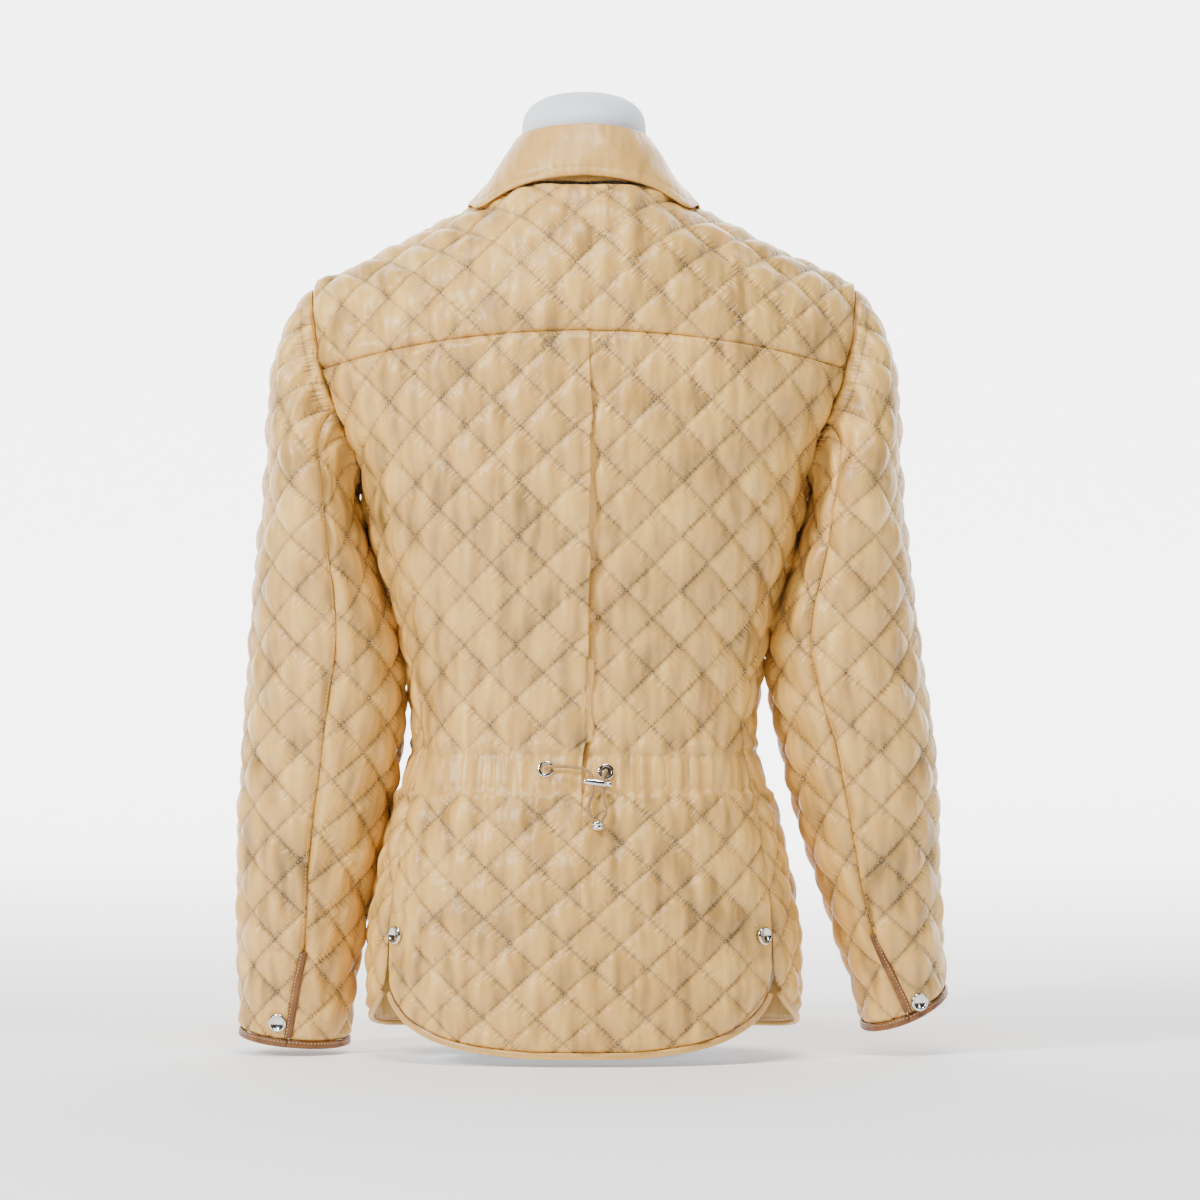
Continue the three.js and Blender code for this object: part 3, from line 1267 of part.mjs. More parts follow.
function tube(points, width, steps) {
  const circle = new THREE.Shape().absarc(0, 0, width / 2, 0, 2 * Math.PI);
  return new THREE.ExtrudeGeometry(circle, {
    steps, curveSegments: CORD_SIDES / 2, extrudePath: new THREE.CatmullRomCurve3(points),
  });
}

function turned(profile, from, to) {
  const long = from.distanceTo(to);
  const lathe = new THREE.LatheGeometry(profile.map(({ at, r }) => new THREE.Vector2(r, at * long)), 14);
  const turnTo = new THREE.Quaternion().setFromUnitVectors(
    new THREE.Vector3(0, 1, 0),
    to.clone().sub(from).normalize(),
  );
  return lathe.applyQuaternion(turnTo).translate(from.x, from.y, from.z);
}

const routes = {
  left: CORD_ROUTES.left.map(offBack),
  right: CORD_ROUTES.right.map(offBack),
};
Object.entries(routes).forEach(([name, points]) => {
  addMesh(`waist_cord_${name}`, tube(points, CORD_WIDTH, 22), CORD);
});
const bores = Object.values(routes).map((points) => asSolid(tube(points, CORD_WIDTH + 2 * CORD_CLEAR, 40)));
const drilled = (geometry) => asGeometry(bores.reduce((solid, bore) => solid.subtract(bore), asSolid(geometry)));
addMesh('cord_lock', drilled(turned(
  LOCK.profile,
  offBack({ ...LOCK.from, off: LOCK.off }),
  offBack({ ...LOCK.to, off: LOCK.off }),
)), STEEL);
addMesh('cord_end_clip', drilled(turned(
  BEAD.profile,
  offBack({ x: BEAD.x, z: BEAD.low, off: BEAD.off }),
  offBack({ x: BEAD.x, z: BEAD.high, off: BEAD.off }),
)), STEEL);

function eyeletProfile({ radius, bore, tall }) {
  return [
    new THREE.Vector2(bore, 0), new THREE.Vector2(radius, 0), new THREE.Vector2(radius, tall * 0.4),
    new THREE.Vector2((radius + bore) / 2, tall), new THREE.Vector2(bore, tall * 0.6), new THREE.Vector2(bore, 0),
  ];
}

Object.entries(GROMMETS).forEach(([name, { x, z }]) => {
  const { u, v } = flatBack(x, z);
  const eyelet = addMesh(`eyelet_${name}`, new THREE.LatheGeometry(eyeletProfile(GROMMET), 16), STEEL);
  standOn(eyelet, back, u, v, GROMMET.lift + waistSink(v));
});

// The part's origin: the middle of its box, at the floor. Cords and what they carry don't count.
const LOOSE = ['waist_cord_left', 'waist_cord_right', 'cord_lock', 'cord_end_clip'];
const box = new THREE.Box3();
jacket.updateMatrixWorld(true);
jacket.children.filter((mesh) => !LOOSE.includes(mesh.name)).forEach((mesh) => box.expandByObject(mesh, true));
const middle = box.getCenter(new THREE.Vector3());
jacket.position.set(-middle.x, -middle.y, -box.min.z);

export default jacket;
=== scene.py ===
# A quilted jacket on a limbless dress form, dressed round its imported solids. The jacket's own frame is in
# millimetres: +Z up, the back faces -Y, +X is the wearer's right. place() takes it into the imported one.

import math

import bmesh
import bpy
import numpy as np
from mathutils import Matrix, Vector
from mathutils.geometry import delaunay_2d_cdt


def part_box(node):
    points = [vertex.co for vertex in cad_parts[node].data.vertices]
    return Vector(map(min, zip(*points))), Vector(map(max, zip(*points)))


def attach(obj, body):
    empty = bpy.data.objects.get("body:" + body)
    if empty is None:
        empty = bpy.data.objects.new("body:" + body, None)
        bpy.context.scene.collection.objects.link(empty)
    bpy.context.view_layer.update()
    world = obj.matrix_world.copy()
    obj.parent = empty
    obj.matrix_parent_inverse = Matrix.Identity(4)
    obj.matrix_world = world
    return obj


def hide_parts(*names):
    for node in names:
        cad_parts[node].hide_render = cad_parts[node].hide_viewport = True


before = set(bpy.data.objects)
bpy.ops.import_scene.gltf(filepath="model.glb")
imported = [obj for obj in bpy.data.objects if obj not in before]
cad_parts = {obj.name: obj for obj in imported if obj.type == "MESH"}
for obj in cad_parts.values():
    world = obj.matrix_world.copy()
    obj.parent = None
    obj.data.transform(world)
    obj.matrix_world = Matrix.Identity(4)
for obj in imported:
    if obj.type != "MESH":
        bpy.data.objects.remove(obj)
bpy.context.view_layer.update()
rng = np.random.default_rng(7)

# Cloth, in millimetres
WALL = 1.7
PUFF = 3.9                  # height of a diamond's crown
STEP = 20.0                 # half a diamond's diagonal
SEAM = 0.15                 # each panel stops this far short of its seam line
INSIDE_PITCH = 9.0          # spacing of the inner mesh
MESH_CLEAR = 0.9            # mesh points keep this far from a panel's outline
UV_UNIT = 100               # millimetres to one unit of a cloth map
FINE_STITCH = 2.6           # pitch of the stitches on bindings and leather
MID_Y = 5.0                 # the side line
ROUND = 2.3                 # exponent of the body's sections
UNDERARM = 430.0


def curve(keys, values):
    """A smooth curve through points, flat beyond its ends."""
    order = np.argsort(keys)
    keys = np.array(keys, float)[order]
    values = np.array(values, float)[order]
    last = len(keys) - 1
    slope = [
        (values[min(i + 1, last)] - values[max(i - 1, 0)]) / (keys[min(i + 1, last)] - keys[max(i - 1, 0)])
        for i in range(last + 1)
    ]
    slope = np.array(slope)

    def at(x):
        x = np.clip(np.asarray(x, float), keys[0], keys[-1])
        i = np.clip(np.searchsorted(keys, x, side="right") - 1, 0, last - 1)
        wide = keys[i + 1] - keys[i]
        t = (x - keys[i]) / wide
        ease = t * t * (3 - 2 * t)
        return (
            values[i] * (1 - ease)
            + values[i + 1] * ease
            + slope[i] * wide * (t**3 - 2 * t**2 + t)
            + slope[i + 1] * wide * (t**3 - t**2)
        )

    return at


def table(names, *rows):
    """Curves over a table's first column, by the names of its other columns."""
    columns = np.array(rows, float).T
    return {name: curve(columns[0], columns[k + 1]) for k, name in enumerate(names.split()[1:])}


def run_along(path):
    """Lengths from a path's first point to each of its points."""
    return np.concatenate([[0], np.cumsum(np.hypot(*np.diff(path, axis=0).T))])


def heading(path):
    """The unit direction of a path at each of its points."""
    ahead = np.gradient(path, axis=0)
    return ahead / np.linalg.norm(ahead, axis=1)[:, None]


def smooth(start, end, at):
    t = np.clip((at - start) / (end - start), 0, 1)
    return t * t * (3 - 2 * t)


# The body's level sections: half width, and depths behind and before the side line
BODY = table(
    "z half back front",
    (-10, 158, 113, 106), (93, 158, 113, 106), (153, 148, 107, 104), (213, 133, 92, 96),
    (243, 125, 85, 93), (303, 130, 91, 103), (371, 151, 105, 122), (431, 165, 113, 122),
    (468, 184, 113, 114), (514, 204, 109, 106), (573, 218, 106, 98), (680, 226, 104, 90),
)
SHOULDER = table(
    "x z", (0, 673), (30, 668), (56, 652), (78, 635), (110, 618), (150, 599), (204, 573), (240, 552)
)["z"]
SHOULDER_ROUND = {"back": 105, "front": 165}
TWIST = table("z s", (0, -5), (228, -1), (538, 4.5), (700, 3))["s"]
VENT_SHIFT = table("z s", (0, -6), (228, -2), (330, 0))["s"]
SIDE_ANGLE = table("z deg", (0, 62), (110, 62), (228, 68), (UNDERARM, 90))["deg"]
ARMHOLE = table("z share", (430, 1), (437, 0.985), (455, 0.965), (514, 0.95), (573, 0.93))["share"]
YOKE = {"centre": 538, "drop": 26, "reach": 195}
NECK_BACK = table("x z", (0, 647), (36, 647.5), (60, 643.5))["z"]
NECK_FRONT = table("x z", (74, 622), (62, 606), (40, 592), (0, 586))["z"]
NECK_POINT = 74
SHOULDER_POINT = 203
CHANNEL = {"low": 201, "high": 226, "sink": 2.6, "puff": 1.3, "row": 0.55, "gather": 1.5, "pitch": 12.5}
PLEAT = {
    "lift": 3.2, "sink": 4.2, "spread": 30, "top": 530, "bottom": 236,
    "overhang": 4.2, "fade": 7.0, "wander": 0.35, "wave": 27, "deeper": 0.45,
}
HEM_BACK = table(
    "share z", (0, 9.5), (0.3, 10.5), (0.6, 17), (0.8, 28), (0.92, 41), (0.985, 56), (1, 70)
)["z"]
HEM_FRONT = table(
    "share z", (0, 22), (0.3, 20), (0.6, 22), (0.8, 31), (0.92, 42), (0.985, 57), (1, 70)
)["z"]
VENT_TOP = 100
VENT_FOOT = 70
VENT_HALF = 1.4
VENT_SNAP = {"z": 93, "inside": 12}
VENT_STRIP = 19             # width of the plain strip along each vent
OVERLAP = {"reach": 16, "lift": 5.2, "fade": 46, "plain": 30}
MIDDLE = (CHANNEL["low"] + CHANNEL["high"]) / 2
LATTICE = {"column": 10, "row": 8, "low_row": 144.5, "low_step": 18.2}
LATTICE_REACH = 40          # diamonds each way from the first
PER_DIAMOND = 10            # mesh points along one side of a diamond

# Level sections of the body, resampled evenly along each half from the centre back to the centre front
LEVELS = np.arange(-14.0, 691.0)
SHARES = np.linspace(0, 1, 401)
ANGLES = np.linspace(0, np.pi, 181)


def body_rings():
    places, halves, lengths = [], [], []
    sweep = np.sin(ANGLES) ** (2 / ROUND)
    sweep[-1] = 0
    rise = np.abs(np.cos(ANGLES)) ** (2 / ROUND)
    for z in LEVELS:
        x = BODY["half"](z) * sweep
        y = MID_Y + np.where(ANGLES < np.pi / 2, -BODY["back"](z), BODY["front"](z)) * rise
        steps = np.hypot(np.diff(x), np.diff(y))
        length = np.concatenate([[0], np.cumsum(steps)])
        share = length / length[-1]
        places.append(np.stack([np.interp(SHARES, share, x), np.interp(SHARES, share, y)], -1))
        halves.append(length[-1])
        lengths.append(length)
    return np.array(places), np.array(halves), np.array(lengths)


RINGS, HALVES, RING_LENGTHS = body_rings()


def bilinear(grid, i, j):
    """Values of a grid between its points."""
    i = np.clip(i, 0, grid.shape[0] - 1.000001)
    j = np.clip(j, 0, grid.shape[1] - 1.000001)
    a, b = np.floor(i).astype(int), np.floor(j).astype(int)
    s, t = (i - a)[..., None], (j - b)[..., None]
    low = grid[a, b] * (1 - t) + grid[a, b + 1] * t
    high = grid[a + 1, b] * (1 - t) + grid[a + 1, b + 1] * t
    return low * (1 - s) + high * s


def half_round(z):
    """Half of the body's girth at a level."""
    return np.interp(z, LEVELS, HALVES)


def shoulder_turn(x, z, front, drop=0):
    """The share of its depth that the body keeps where it turns in under the shoulder line."""
    reach = np.where(front, SHOULDER_ROUND["front"], SHOULDER_ROUND["back"])
    rise = np.clip((SHOULDER(x) - drop - z) / reach, 0, 1)
    return np.sqrt(1 - (1 - rise) ** 2)


def body_at(s, z):
    """The body's inside face at length s round from the centre back, at level z."""
    s, z = np.broadcast_arrays(np.asarray(s, float), np.asarray(z, float))
    half = half_round(z)
    along = np.abs(s)
    sign = np.where(s < 0, -1.0, 1.0)
    over = along > half
    along = np.where(over, 2 * half - along, along)
    sign = np.where(over, -sign, sign)
    xy = bilinear(RINGS, z - LEVELS[0], along / half * (len(SHARES) - 1))
    x, y = xy[..., 0], xy[..., 1]
    y = MID_Y + (y - MID_Y) * shoulder_turn(x, z, y > MID_Y)
    return np.stack([sign * x, y, z], -1)


def s_of_x(x, z, front):
    """Length round from the centre back to where the section at z has this x."""
    out = []
    for one_x, one_z in zip(np.atleast_1d(x), np.atleast_1d(z)):
        i = min(max(one_z - LEVELS[0], 0), len(LEVELS) - 1.001)
        k = int(i)
        row = RINGS[k, :, 0] * (k + 1 - i) + RINGS[k + 1, :, 0] * (i - k)
        widest = int(np.argmax(row))
        if front:
            share = np.interp(one_x, row[widest:][::-1], SHARES[widest:][::-1])
        else:
            share = np.interp(one_x, row[: widest + 1], SHARES[: widest + 1])
        out.append(share * half_round(one_z))
    return np.array(out)


class BodyCloth:
    """Cloth coordinates on the body: u across from the centre line, v up. Above the underarm v follows the
    cloth, so that it stays true over the shoulder."""

    US = np.arange(-332.0, 333.0, 2.0)
    VS = np.arange(UNDERARM, UNDERARM + 361.0)

    def __init__(self, front=False, sign=1):
        self.front, self.sign = front, sign
        self.flip = front and sign > 0
        _, lengths, places = self.climb(self.US)
        self.tops = lengths[-1]
        grid = np.empty((len(self.US), len(self.VS), 3))
        for c in range(len(self.US)):
            for k in range(3):
                grid[c, :, k] = np.interp(self.VS, lengths[:, c], places[:, c, k])
            beyond = np.maximum(self.VS - self.tops[c], 0)
            grid[c, :, 1] += beyond * (-1 if front else 1)
        self.grid = grid

    def s_of(self, u, z):
        if self.front:
            return self.sign * (half_round(z) - u) + TWIST(z)
        return u + TWIST(z)

    def climb(self, us, most=3.0, least=0.02, share=0.3):
        """Levels, lengths up the cloth and places of columns from the underarm to the shoulder line."""
        z = np.full(len(us), UNDERARM)
        here = body_at(self.s_of(us, z), z)
        levels, lengths, places = [z], [z], [here]
        while True:
            left = np.maximum(SHOULDER(np.abs(here[:, 0])) - z, 1e-4)
            going = left > least / 10
            if not going.any():
                break
            z = z + np.where(going, np.minimum(left, np.clip(left * share, least, most)), 0)
            there = body_at(self.s_of(us, z), z)
            lengths.append(lengths[-1] + np.linalg.norm(there - here, axis=1))
            levels.append(z)
            places.append(there)
            here = there
        return np.array(levels), np.array(lengths), np.array(places)

    def v_at(self, us, zs):
        us, zs = np.atleast_1d(us).astype(float), np.atleast_1d(zs).astype(float)
        levels, lengths, _ = self.climb(us)
        out = [np.interp(z, levels[:, k], lengths[:, k]) for k, z in enumerate(zs)]
        return np.where(zs <= UNDERARM, zs, out)

    def point(self, u, v):
        u, v = np.broadcast_arrays(np.asarray(u, float), np.asarray(v, float))
        low = body_at(self.s_of(u, np.minimum(v, UNDERARM)), np.minimum(v, UNDERARM))
        high = bilinear(self.grid, (u - self.US[0]) / 2, v - UNDERARM)
        return np.where((v <= UNDERARM)[..., None], low, high)


def normal_at(cloth, u, v, e=1.5):
    """Unit normals that point out of the cloth."""
    across = cloth.point(u + e, v) - cloth.point(u - e, v)
    up = cloth.point(u, v + e) - cloth.point(u, v - e)
    n = np.cross(across, up)
    return n * (-1 if cloth.flip else 1) / np.linalg.norm(n, axis=-1, keepdims=True)


def off_cloth(cloth, u, v, height):
    """Places at a height over the cloth's inside face."""
    u, v = np.asarray(u, float), np.asarray(v, float)
    return cloth.point(u, v) + normal_at(cloth, u, v) * np.asarray(height, float)[..., None]


# Sleeves: level sections from the cuff to the upper arm, and where the hind seam runs, in degrees from the
# outer line round the back
SLEEVE_TOP = 418.0
FRONT_SEAM = 108
HEAD_GAP = 0.6
UNDERARM_LIFT = 2.0
HEAD = table(
    "share pitch swing", (0, 52, 0), (0.3, 40, 0.3), (0.6, 30, 0.4), (0.85, 16, 0.2), (1, 4, 0)
)
SLEEVES = {
    "left": {
        "sign": -1,
        "rings": table(
            "z x half deep y",
            (0, 219.5, 39.5, 39, 27), (33, 217, 39.5, 39, 24), (78, 214.5, 43.5, 40, 19),
            (153, 206, 51, 44, 12), (228, 197, 56, 50, 7), (310, 194.5, 52.5, 58, 4),
            (377, 202.5, 38.5, 66, 4), (SLEEVE_TOP, 205, 31, 70, 5),
        ),
        "hind": table(
            "z deg", (0, 84), (12, 86), (48, 91), (83, 97), (158, 92), (249, 94), (355, 108),
            (SLEEVE_TOP, 112),
        )["deg"],
        "end": {"level": 15.5, "out": 3.5, "back": -4},
        "snap": {"x": 228, "z": 25},
        "tab_top": 78,
    },
    "right": {
        "sign": 1,
        "rings": table(
            "z x half deep y",
            (0, 246, 31.5, 45, 27), (46, 239, 32, 45, 23), (78, 232, 35.5, 46, 19),
            (153, 217.5, 46, 48, 12), (228, 206, 54, 52, 7), (310, 195, 53, 58, 4),
            (377, 201.5, 38, 66, 4), (SLEEVE_TOP, 204.5, 30.5, 70, 5),
        ),
        "hind": table(
            "z deg", (0, 82), (30, 88), (93, 110), (168, 108), (231, 109), (270, 115), (341, 122),
            (SLEEVE_TOP, 124),
        )["deg"],
        "end": {"level": 37, "out": 13, "back": -6},
        "snap": {"x": 249, "z": 41},
        "tab_top": 92,
    },
}


def armhole_x(z):
    return ARMHOLE(z) * BODY["half"](z)


def armhole_curve(sign, front):
    """Places down the armhole from the shoulder to the underarm, by share of its length."""
    z = np.linspace(SHOULDER(SHOULDER_POINT), UNDERARM, 61)
    spots = body_at(sign * s_of_x(armhole_x(z), z, front), z)
    length = np.concatenate([[0], np.cumsum(np.linalg.norm(np.diff(spots, axis=0), axis=1))])
    share = length / length[-1]
    return lambda at: np.stack([np.interp(at, share, spots[:, k]) for k in range(3)], -1)


class SleeveCloth:
    """Cloth coordinates on a sleeve: u round it from the outer line, or from the inner line on the under
    sleeve, v up. Above the upper arm v follows the cloth up to the armhole."""

    LEVELS = np.arange(-14.0, SLEEVE_TOP + 1)
    TURN = np.radians(np.arange(0, 361, 2.5))
    SHARES = np.linspace(0, 1, 361)
    US = np.arange(-190.0, 191.0, 2.0)
    VS = np.arange(SLEEVE_TOP, SLEEVE_TOP + 321.0)
    CAP_STEPS = 40

    def __init__(self, side, under):
        self.side, self.under, self.sign = side, under, side["sign"]
        self.flip = self.sign > 0
        rings, rounds, lengths = [], [], []
        for z in self.LEVELS:
            spots = self.section(z)
            steps = np.linalg.norm(np.diff(spots, axis=0), axis=1)
            length = np.concatenate([[0], np.cumsum(steps)])
            share = length / length[-1]
            rings.append(np.stack([np.interp(self.SHARES, share, spots[:, k]) for k in range(3)], -1))
            rounds.append(length[-1])
            lengths.append(length)
        self.rings, self.rounds, self.lengths = np.array(rings), np.array(rounds), np.array(lengths)
        self.cap()

    def section(self, z):
        rows = self.side["rings"]
        return np.stack(
            [
                self.sign * (rows["x"](z) + rows["half"](z) * np.cos(self.TURN)),
                rows["y"](z) - rows["deep"](z) * np.sin(self.TURN),
                np.full(len(self.TURN), z),
            ],
            -1,
        )

    def round_at(self, z):
        return np.interp(z, self.LEVELS, self.rounds)

    def length_at(self, z, deg):
        return bilinear(self.lengths[..., None], z - self.LEVELS[0], np.asarray(deg) / 2.5)[..., 0]

    def hind_at(self, z):
        return self.length_at(z, self.side["hind"](z))

    def front_at(self, z):
        return self.length_at(z, 360 - FRONT_SEAM)

    def s_of(self, u, z):
        return self.round_at(z) / 2 + u if self.under else u

    def on_ring(self, s, z):
        share = (s / self.round_at(z)) % 1
        return bilinear(self.rings, z - self.LEVELS[0], share * (len(self.SHARES) - 1))

    def cap(self):
        """The cloth above the upper arm, from the sleeve's top ring to the armhole."""
        top = np.full(len(self.US), SLEEVE_TOP)
        whole = self.round_at(SLEEVE_TOP)
        s = self.s_of(self.US, top) % whole
        is_back = s <= whole / 2
        share = np.where(is_back, s, whole - s) / (whole / 2)
        curves = [armhole_curve(self.sign, front)(share) for front in (False, True)]
        start = np.where(is_back[:, None], curves[0], curves[1])
        start[:, 0] += self.sign * (HEAD_GAP + UNDERARM_LIFT * share**3)
        end = self.on_ring(s, top)
        below = self.on_ring(s * self.round_at(SLEEVE_TOP - 20) / whole, top - 20)
        chord = np.linalg.norm(start - end, axis=1)[:, None] * 1.15
        pitch = np.radians(HEAD["pitch"](share))
        swing = np.where(is_back, -1, 1) * HEAD["swing"](share)
        leave = np.stack([self.sign * np.cos(pitch), swing, -np.sin(pitch)], -1)
        leave *= chord / np.linalg.norm(leave, axis=1)[:, None]
        arrive = below - end
        arrive *= chord / np.linalg.norm(arrive, axis=1)[:, None]
        t = np.linspace(1, 0, self.CAP_STEPS + 1)[:, None, None]
        spots = (
            start * (2 * t**3 - 3 * t**2 + 1) + leave * (t**3 - 2 * t**2 + t)
            + end * (3 * t**2 - 2 * t**3) + arrive * (t**3 - t**2)
        )
        lengths = np.zeros(spots.shape[:2])
        lengths[1:] = np.cumsum(np.linalg.norm(np.diff(spots, axis=0), axis=2), axis=0)
        self.tops = SLEEVE_TOP + lengths[-1]
        grid = np.empty((len(self.US), len(self.VS), 3))
        up = spots[-1] - spots[-2]
        up /= np.linalg.norm(up, axis=1)[:, None]
        for c in range(len(self.US)):
            for k in range(3):
                grid[c, :, k] = np.interp(self.VS - SLEEVE_TOP, lengths[:, c], spots[:, c, k])
            beyond = np.maximum(self.VS - self.tops[c], 0)
            grid[c] += beyond[:, None] * up[c]
        self.grid = grid

    def top_of(self, u):
        return np.interp(u, self.US, self.tops)

    def point(self, u, v):
        u, v = np.broadcast_arrays(np.asarray(u, float), np.asarray(v, float))
        z = np.minimum(v, SLEEVE_TOP)
        low = self.on_ring(self.s_of(u, z), z)
        high = bilinear(self.grid, (u - self.US[0]) / 2, v - SLEEVE_TOP)
        return np.where((v <= SLEEVE_TOP)[..., None], low, high)


# Quilting: lines of stitches at whole values of a and of b, which count diamonds along both diagonals
def body_lattice(u, v):
    low = v < MIDDLE
    row = np.where(low, (v - LATTICE["low_row"]) / LATTICE["low_step"], (v - LATTICE["row"]) / STEP)
    column = (u - LATTICE["column"]) / STEP
    return (column + row) / 2, (column - row) / 2


def body_cloth_of(a, b, low=False):
    column, row = a + b, a - b
    u = LATTICE["column"] + column * STEP
    v = LATTICE["low_row"] + row * LATTICE["low_step"] if low else LATTICE["row"] + row * STEP
    return u, v


def sleeve_lattice(u, v):
    column, row = (u - LATTICE["column"]) / STEP, (v - LATTICE["row"]) / STEP
    return (column + row) / 2, (column - row) / 2


def pillow(a, b):
    """1 in the middle of a diamond, 0 along its stitches, with a soft crown."""
    across = np.abs(np.sin(np.pi * a))
    along = np.abs(np.sin(np.pi * b))
    return (across * along) ** 0.5 * (0.8 + 0.2 * np.minimum(across, along))


# Outlines of the panels: lengths s round from the centre back and levels z, for one half
def side_line(z, sign):
    """Length round from the centre back to the side seam."""
    lengths = bilinear(RING_LENGTHS[..., None], z - LEVELS[0], SIDE_ANGLE(z))[..., 0]
    return lengths + sign * VENT_SHIFT(z)


def yoke_height(x):
    return YOKE["centre"] - YOKE["drop"] * (x / YOKE["reach"]) ** 2


YOKE_END = float(yoke_height(armhole_x(yoke_height(YOKE["reach"]))))
SHOULDER_TOP = float(SHOULDER(SHOULDER_POINT))


def at_x(x, z, front):
    return s_of_x(x, z, front), z


def line_side(sign):
    z = np.linspace(VENT_TOP, UNDERARM, 100)
    return side_line(z, sign), z


def line_armhole(start, end, front):
    z = np.linspace(start, end, 44)
    return at_x(armhole_x(z), z, front)


def line_shoulder(front):
    x = np.linspace(SHOULDER_POINT, NECK_POINT, 40)
    return at_x(x, SHOULDER(x) - 0.003, front)


def line_yoke():
    x = np.linspace(armhole_x(YOKE_END), 0, 60)
    return at_x(x, yoke_height(x), False)


def line_neck(front):
    x = np.linspace(0.98 * NECK_POINT, 0, 28)
    return at_x(x, (NECK_FRONT if front else NECK_BACK)(x), front)


def line_hem(front, sign):
    share = 1 - (1 - np.linspace(0, 1, 90)) ** 1.3
    z = (HEM_FRONT if front else HEM_BACK)(share)
    side = side_line(z, sign) + (1 if front else -1) * VENT_HALF
    centre = half_round(z) if front else 0
    return centre + (side - centre) * share, z


def line_vent(front, sign):
    t = np.linspace(0, 1, 14)
    z = VENT_FOOT + (VENT_TOP - VENT_FOOT) * t
    return side_line(z, sign) + (1 if front else -1) * VENT_HALF * (1 - t), z


def to_cloth(cloth, line, sign):
    """A line of lengths and levels, in the cloth's own coordinates."""
    s, z = line
    if cloth.front:
        u = half_round(z) - s + sign * TWIST(z)
    else:
        u = sign * s - TWIST(z)
    return np.stack([u, cloth.v_at(u, z)], -1)


def joined(parts):
    return np.concatenate(parts)


def signed_area(outline):
    after = np.roll(outline, -1, axis=0)
    return float(np.sum(outline[:, 0] * after[:, 1] - after[:, 0] * outline[:, 1]) / 2)


def tidy_outline(points, gap=1.2, by=SEAM):
    """The outline without crowded points, anticlockwise and drawn in by the seam's gap."""
    kept = [points[0]]
    for p in points[1:]:
        if np.hypot(*(p - kept[-1])) > gap:
            kept.append(p)
    if np.hypot(*(kept[-1] - kept[0])) <= gap:
        kept.pop()
    out = np.array(kept)
    if signed_area(out) < 0:
        out = out[::-1]
    along = np.roll(out, -1, axis=0) - np.roll(out, 1, axis=0)
    along /= np.linalg.norm(along, axis=1)[:, None]
    return out + np.stack([-along[:, 1], along[:, 0]], -1) * by


def inside(outline, points):
    """Which points lie inside an outline."""
    hit = np.zeros(len(points), bool)
    for (u1, v1), (u2, v2) in zip(outline, np.roll(outline, -1, axis=0)):
        spans = (v1 > points[:, 1]) != (v2 > points[:, 1])
        if v1 != v2:
            hit ^= spans & (points[:, 0] < (u2 - u1) * (points[:, 1] - v1) / (v2 - v1) + u1)
    return hit


def edge_distance(path, points, closed=True):
    """How far points lie from a path."""
    best = np.full(len(points), 1e9)
    ends = np.roll(path, -1, axis=0) if closed else path[1:]
    for start, end in zip(path, ends):
        d = end - start
        t = np.clip(((points - start) @ d) / max(d @ d, 1e-9), 0, 1)
        best = np.minimum(best, np.hypot(*(points - start - t[:, None] * d).T))
    return best


class Noise:
    """Smooth seeded noise over the cloth, from -1 to 1."""

    def __init__(self, wide, tall):
        self.wide, self.tall = wide, tall
        self.grid = rng.uniform(-1, 1, (97, 97, 1))

    def __call__(self, u, v):
        i, j = (np.asarray(u) / self.wide) % 96, (np.asarray(v) / self.tall) % 96
        a, b = np.floor(i), np.floor(j)
        s, t = i - a, j - b
        s, t = s * s * (3 - 2 * s), t * t * (3 - 2 * t)
        return bilinear(self.grid, np.minimum(a + s, 95.999), np.minimum(b + t, 95.999))[..., 0]


# Soft creases: from (u, v) to (u, v), half width and height in mm; troughs are negative
def creased(creases, u, v):
    out = np.zeros_like(u)
    for u0, v0, u1, v1, wide, height in creases:
        du, dv = u1 - u0, v1 - v0
        long = math.hypot(du, dv)
        t = ((u - u0) * du + (v - v0) * dv) / long**2
        off = ((u - u0) * dv - (v - v0) * du) / long
        bow = 0.06 * long * np.sin(np.pi * np.clip(t, 0, 1))
        fade = smooth(-0.12, 0.25, t) * (1 - smooth(0.7, 1.12, t))
        out += height * fade * np.exp(-(((off - bow) / wide) ** 2))
    return out


def grid_points(outline, step, clear, offset=(0, 0)):
    """An even grid of points inside an outline."""
    low, high = outline.min(0) - offset, outline.max(0) - offset
    axes = [
        np.arange(math.floor(low[k] / step), high[k] / step + 1) * step + offset[k] for k in (0, 1)
    ]
    points = np.stack(np.meshgrid(*axes), -1).reshape(-1, 2)
    points = points[inside(outline, points)]
    return points[edge_distance(outline, points) > clear]


def lattice_points(outline, cloth_of, **low):
    """Points in line with the stitches, ten to the side of a diamond."""
    far = LATTICE_REACH * PER_DIAMOND
    line = np.arange(-far, far) / PER_DIAMOND
    a, b = np.meshgrid(line, line)
    u, v = cloth_of(a.ravel(), b.ravel(), **low)
    points = np.stack([u, v], -1)
    (u0, v0), (u1, v1) = outline.min(0), outline.max(0)
    points = points[(u > u0) & (u < u1) & (v > v0) & (v < v1)]
    points = points[inside(outline, points)]
    return points[edge_distance(outline, points) > MESH_CLEAR]


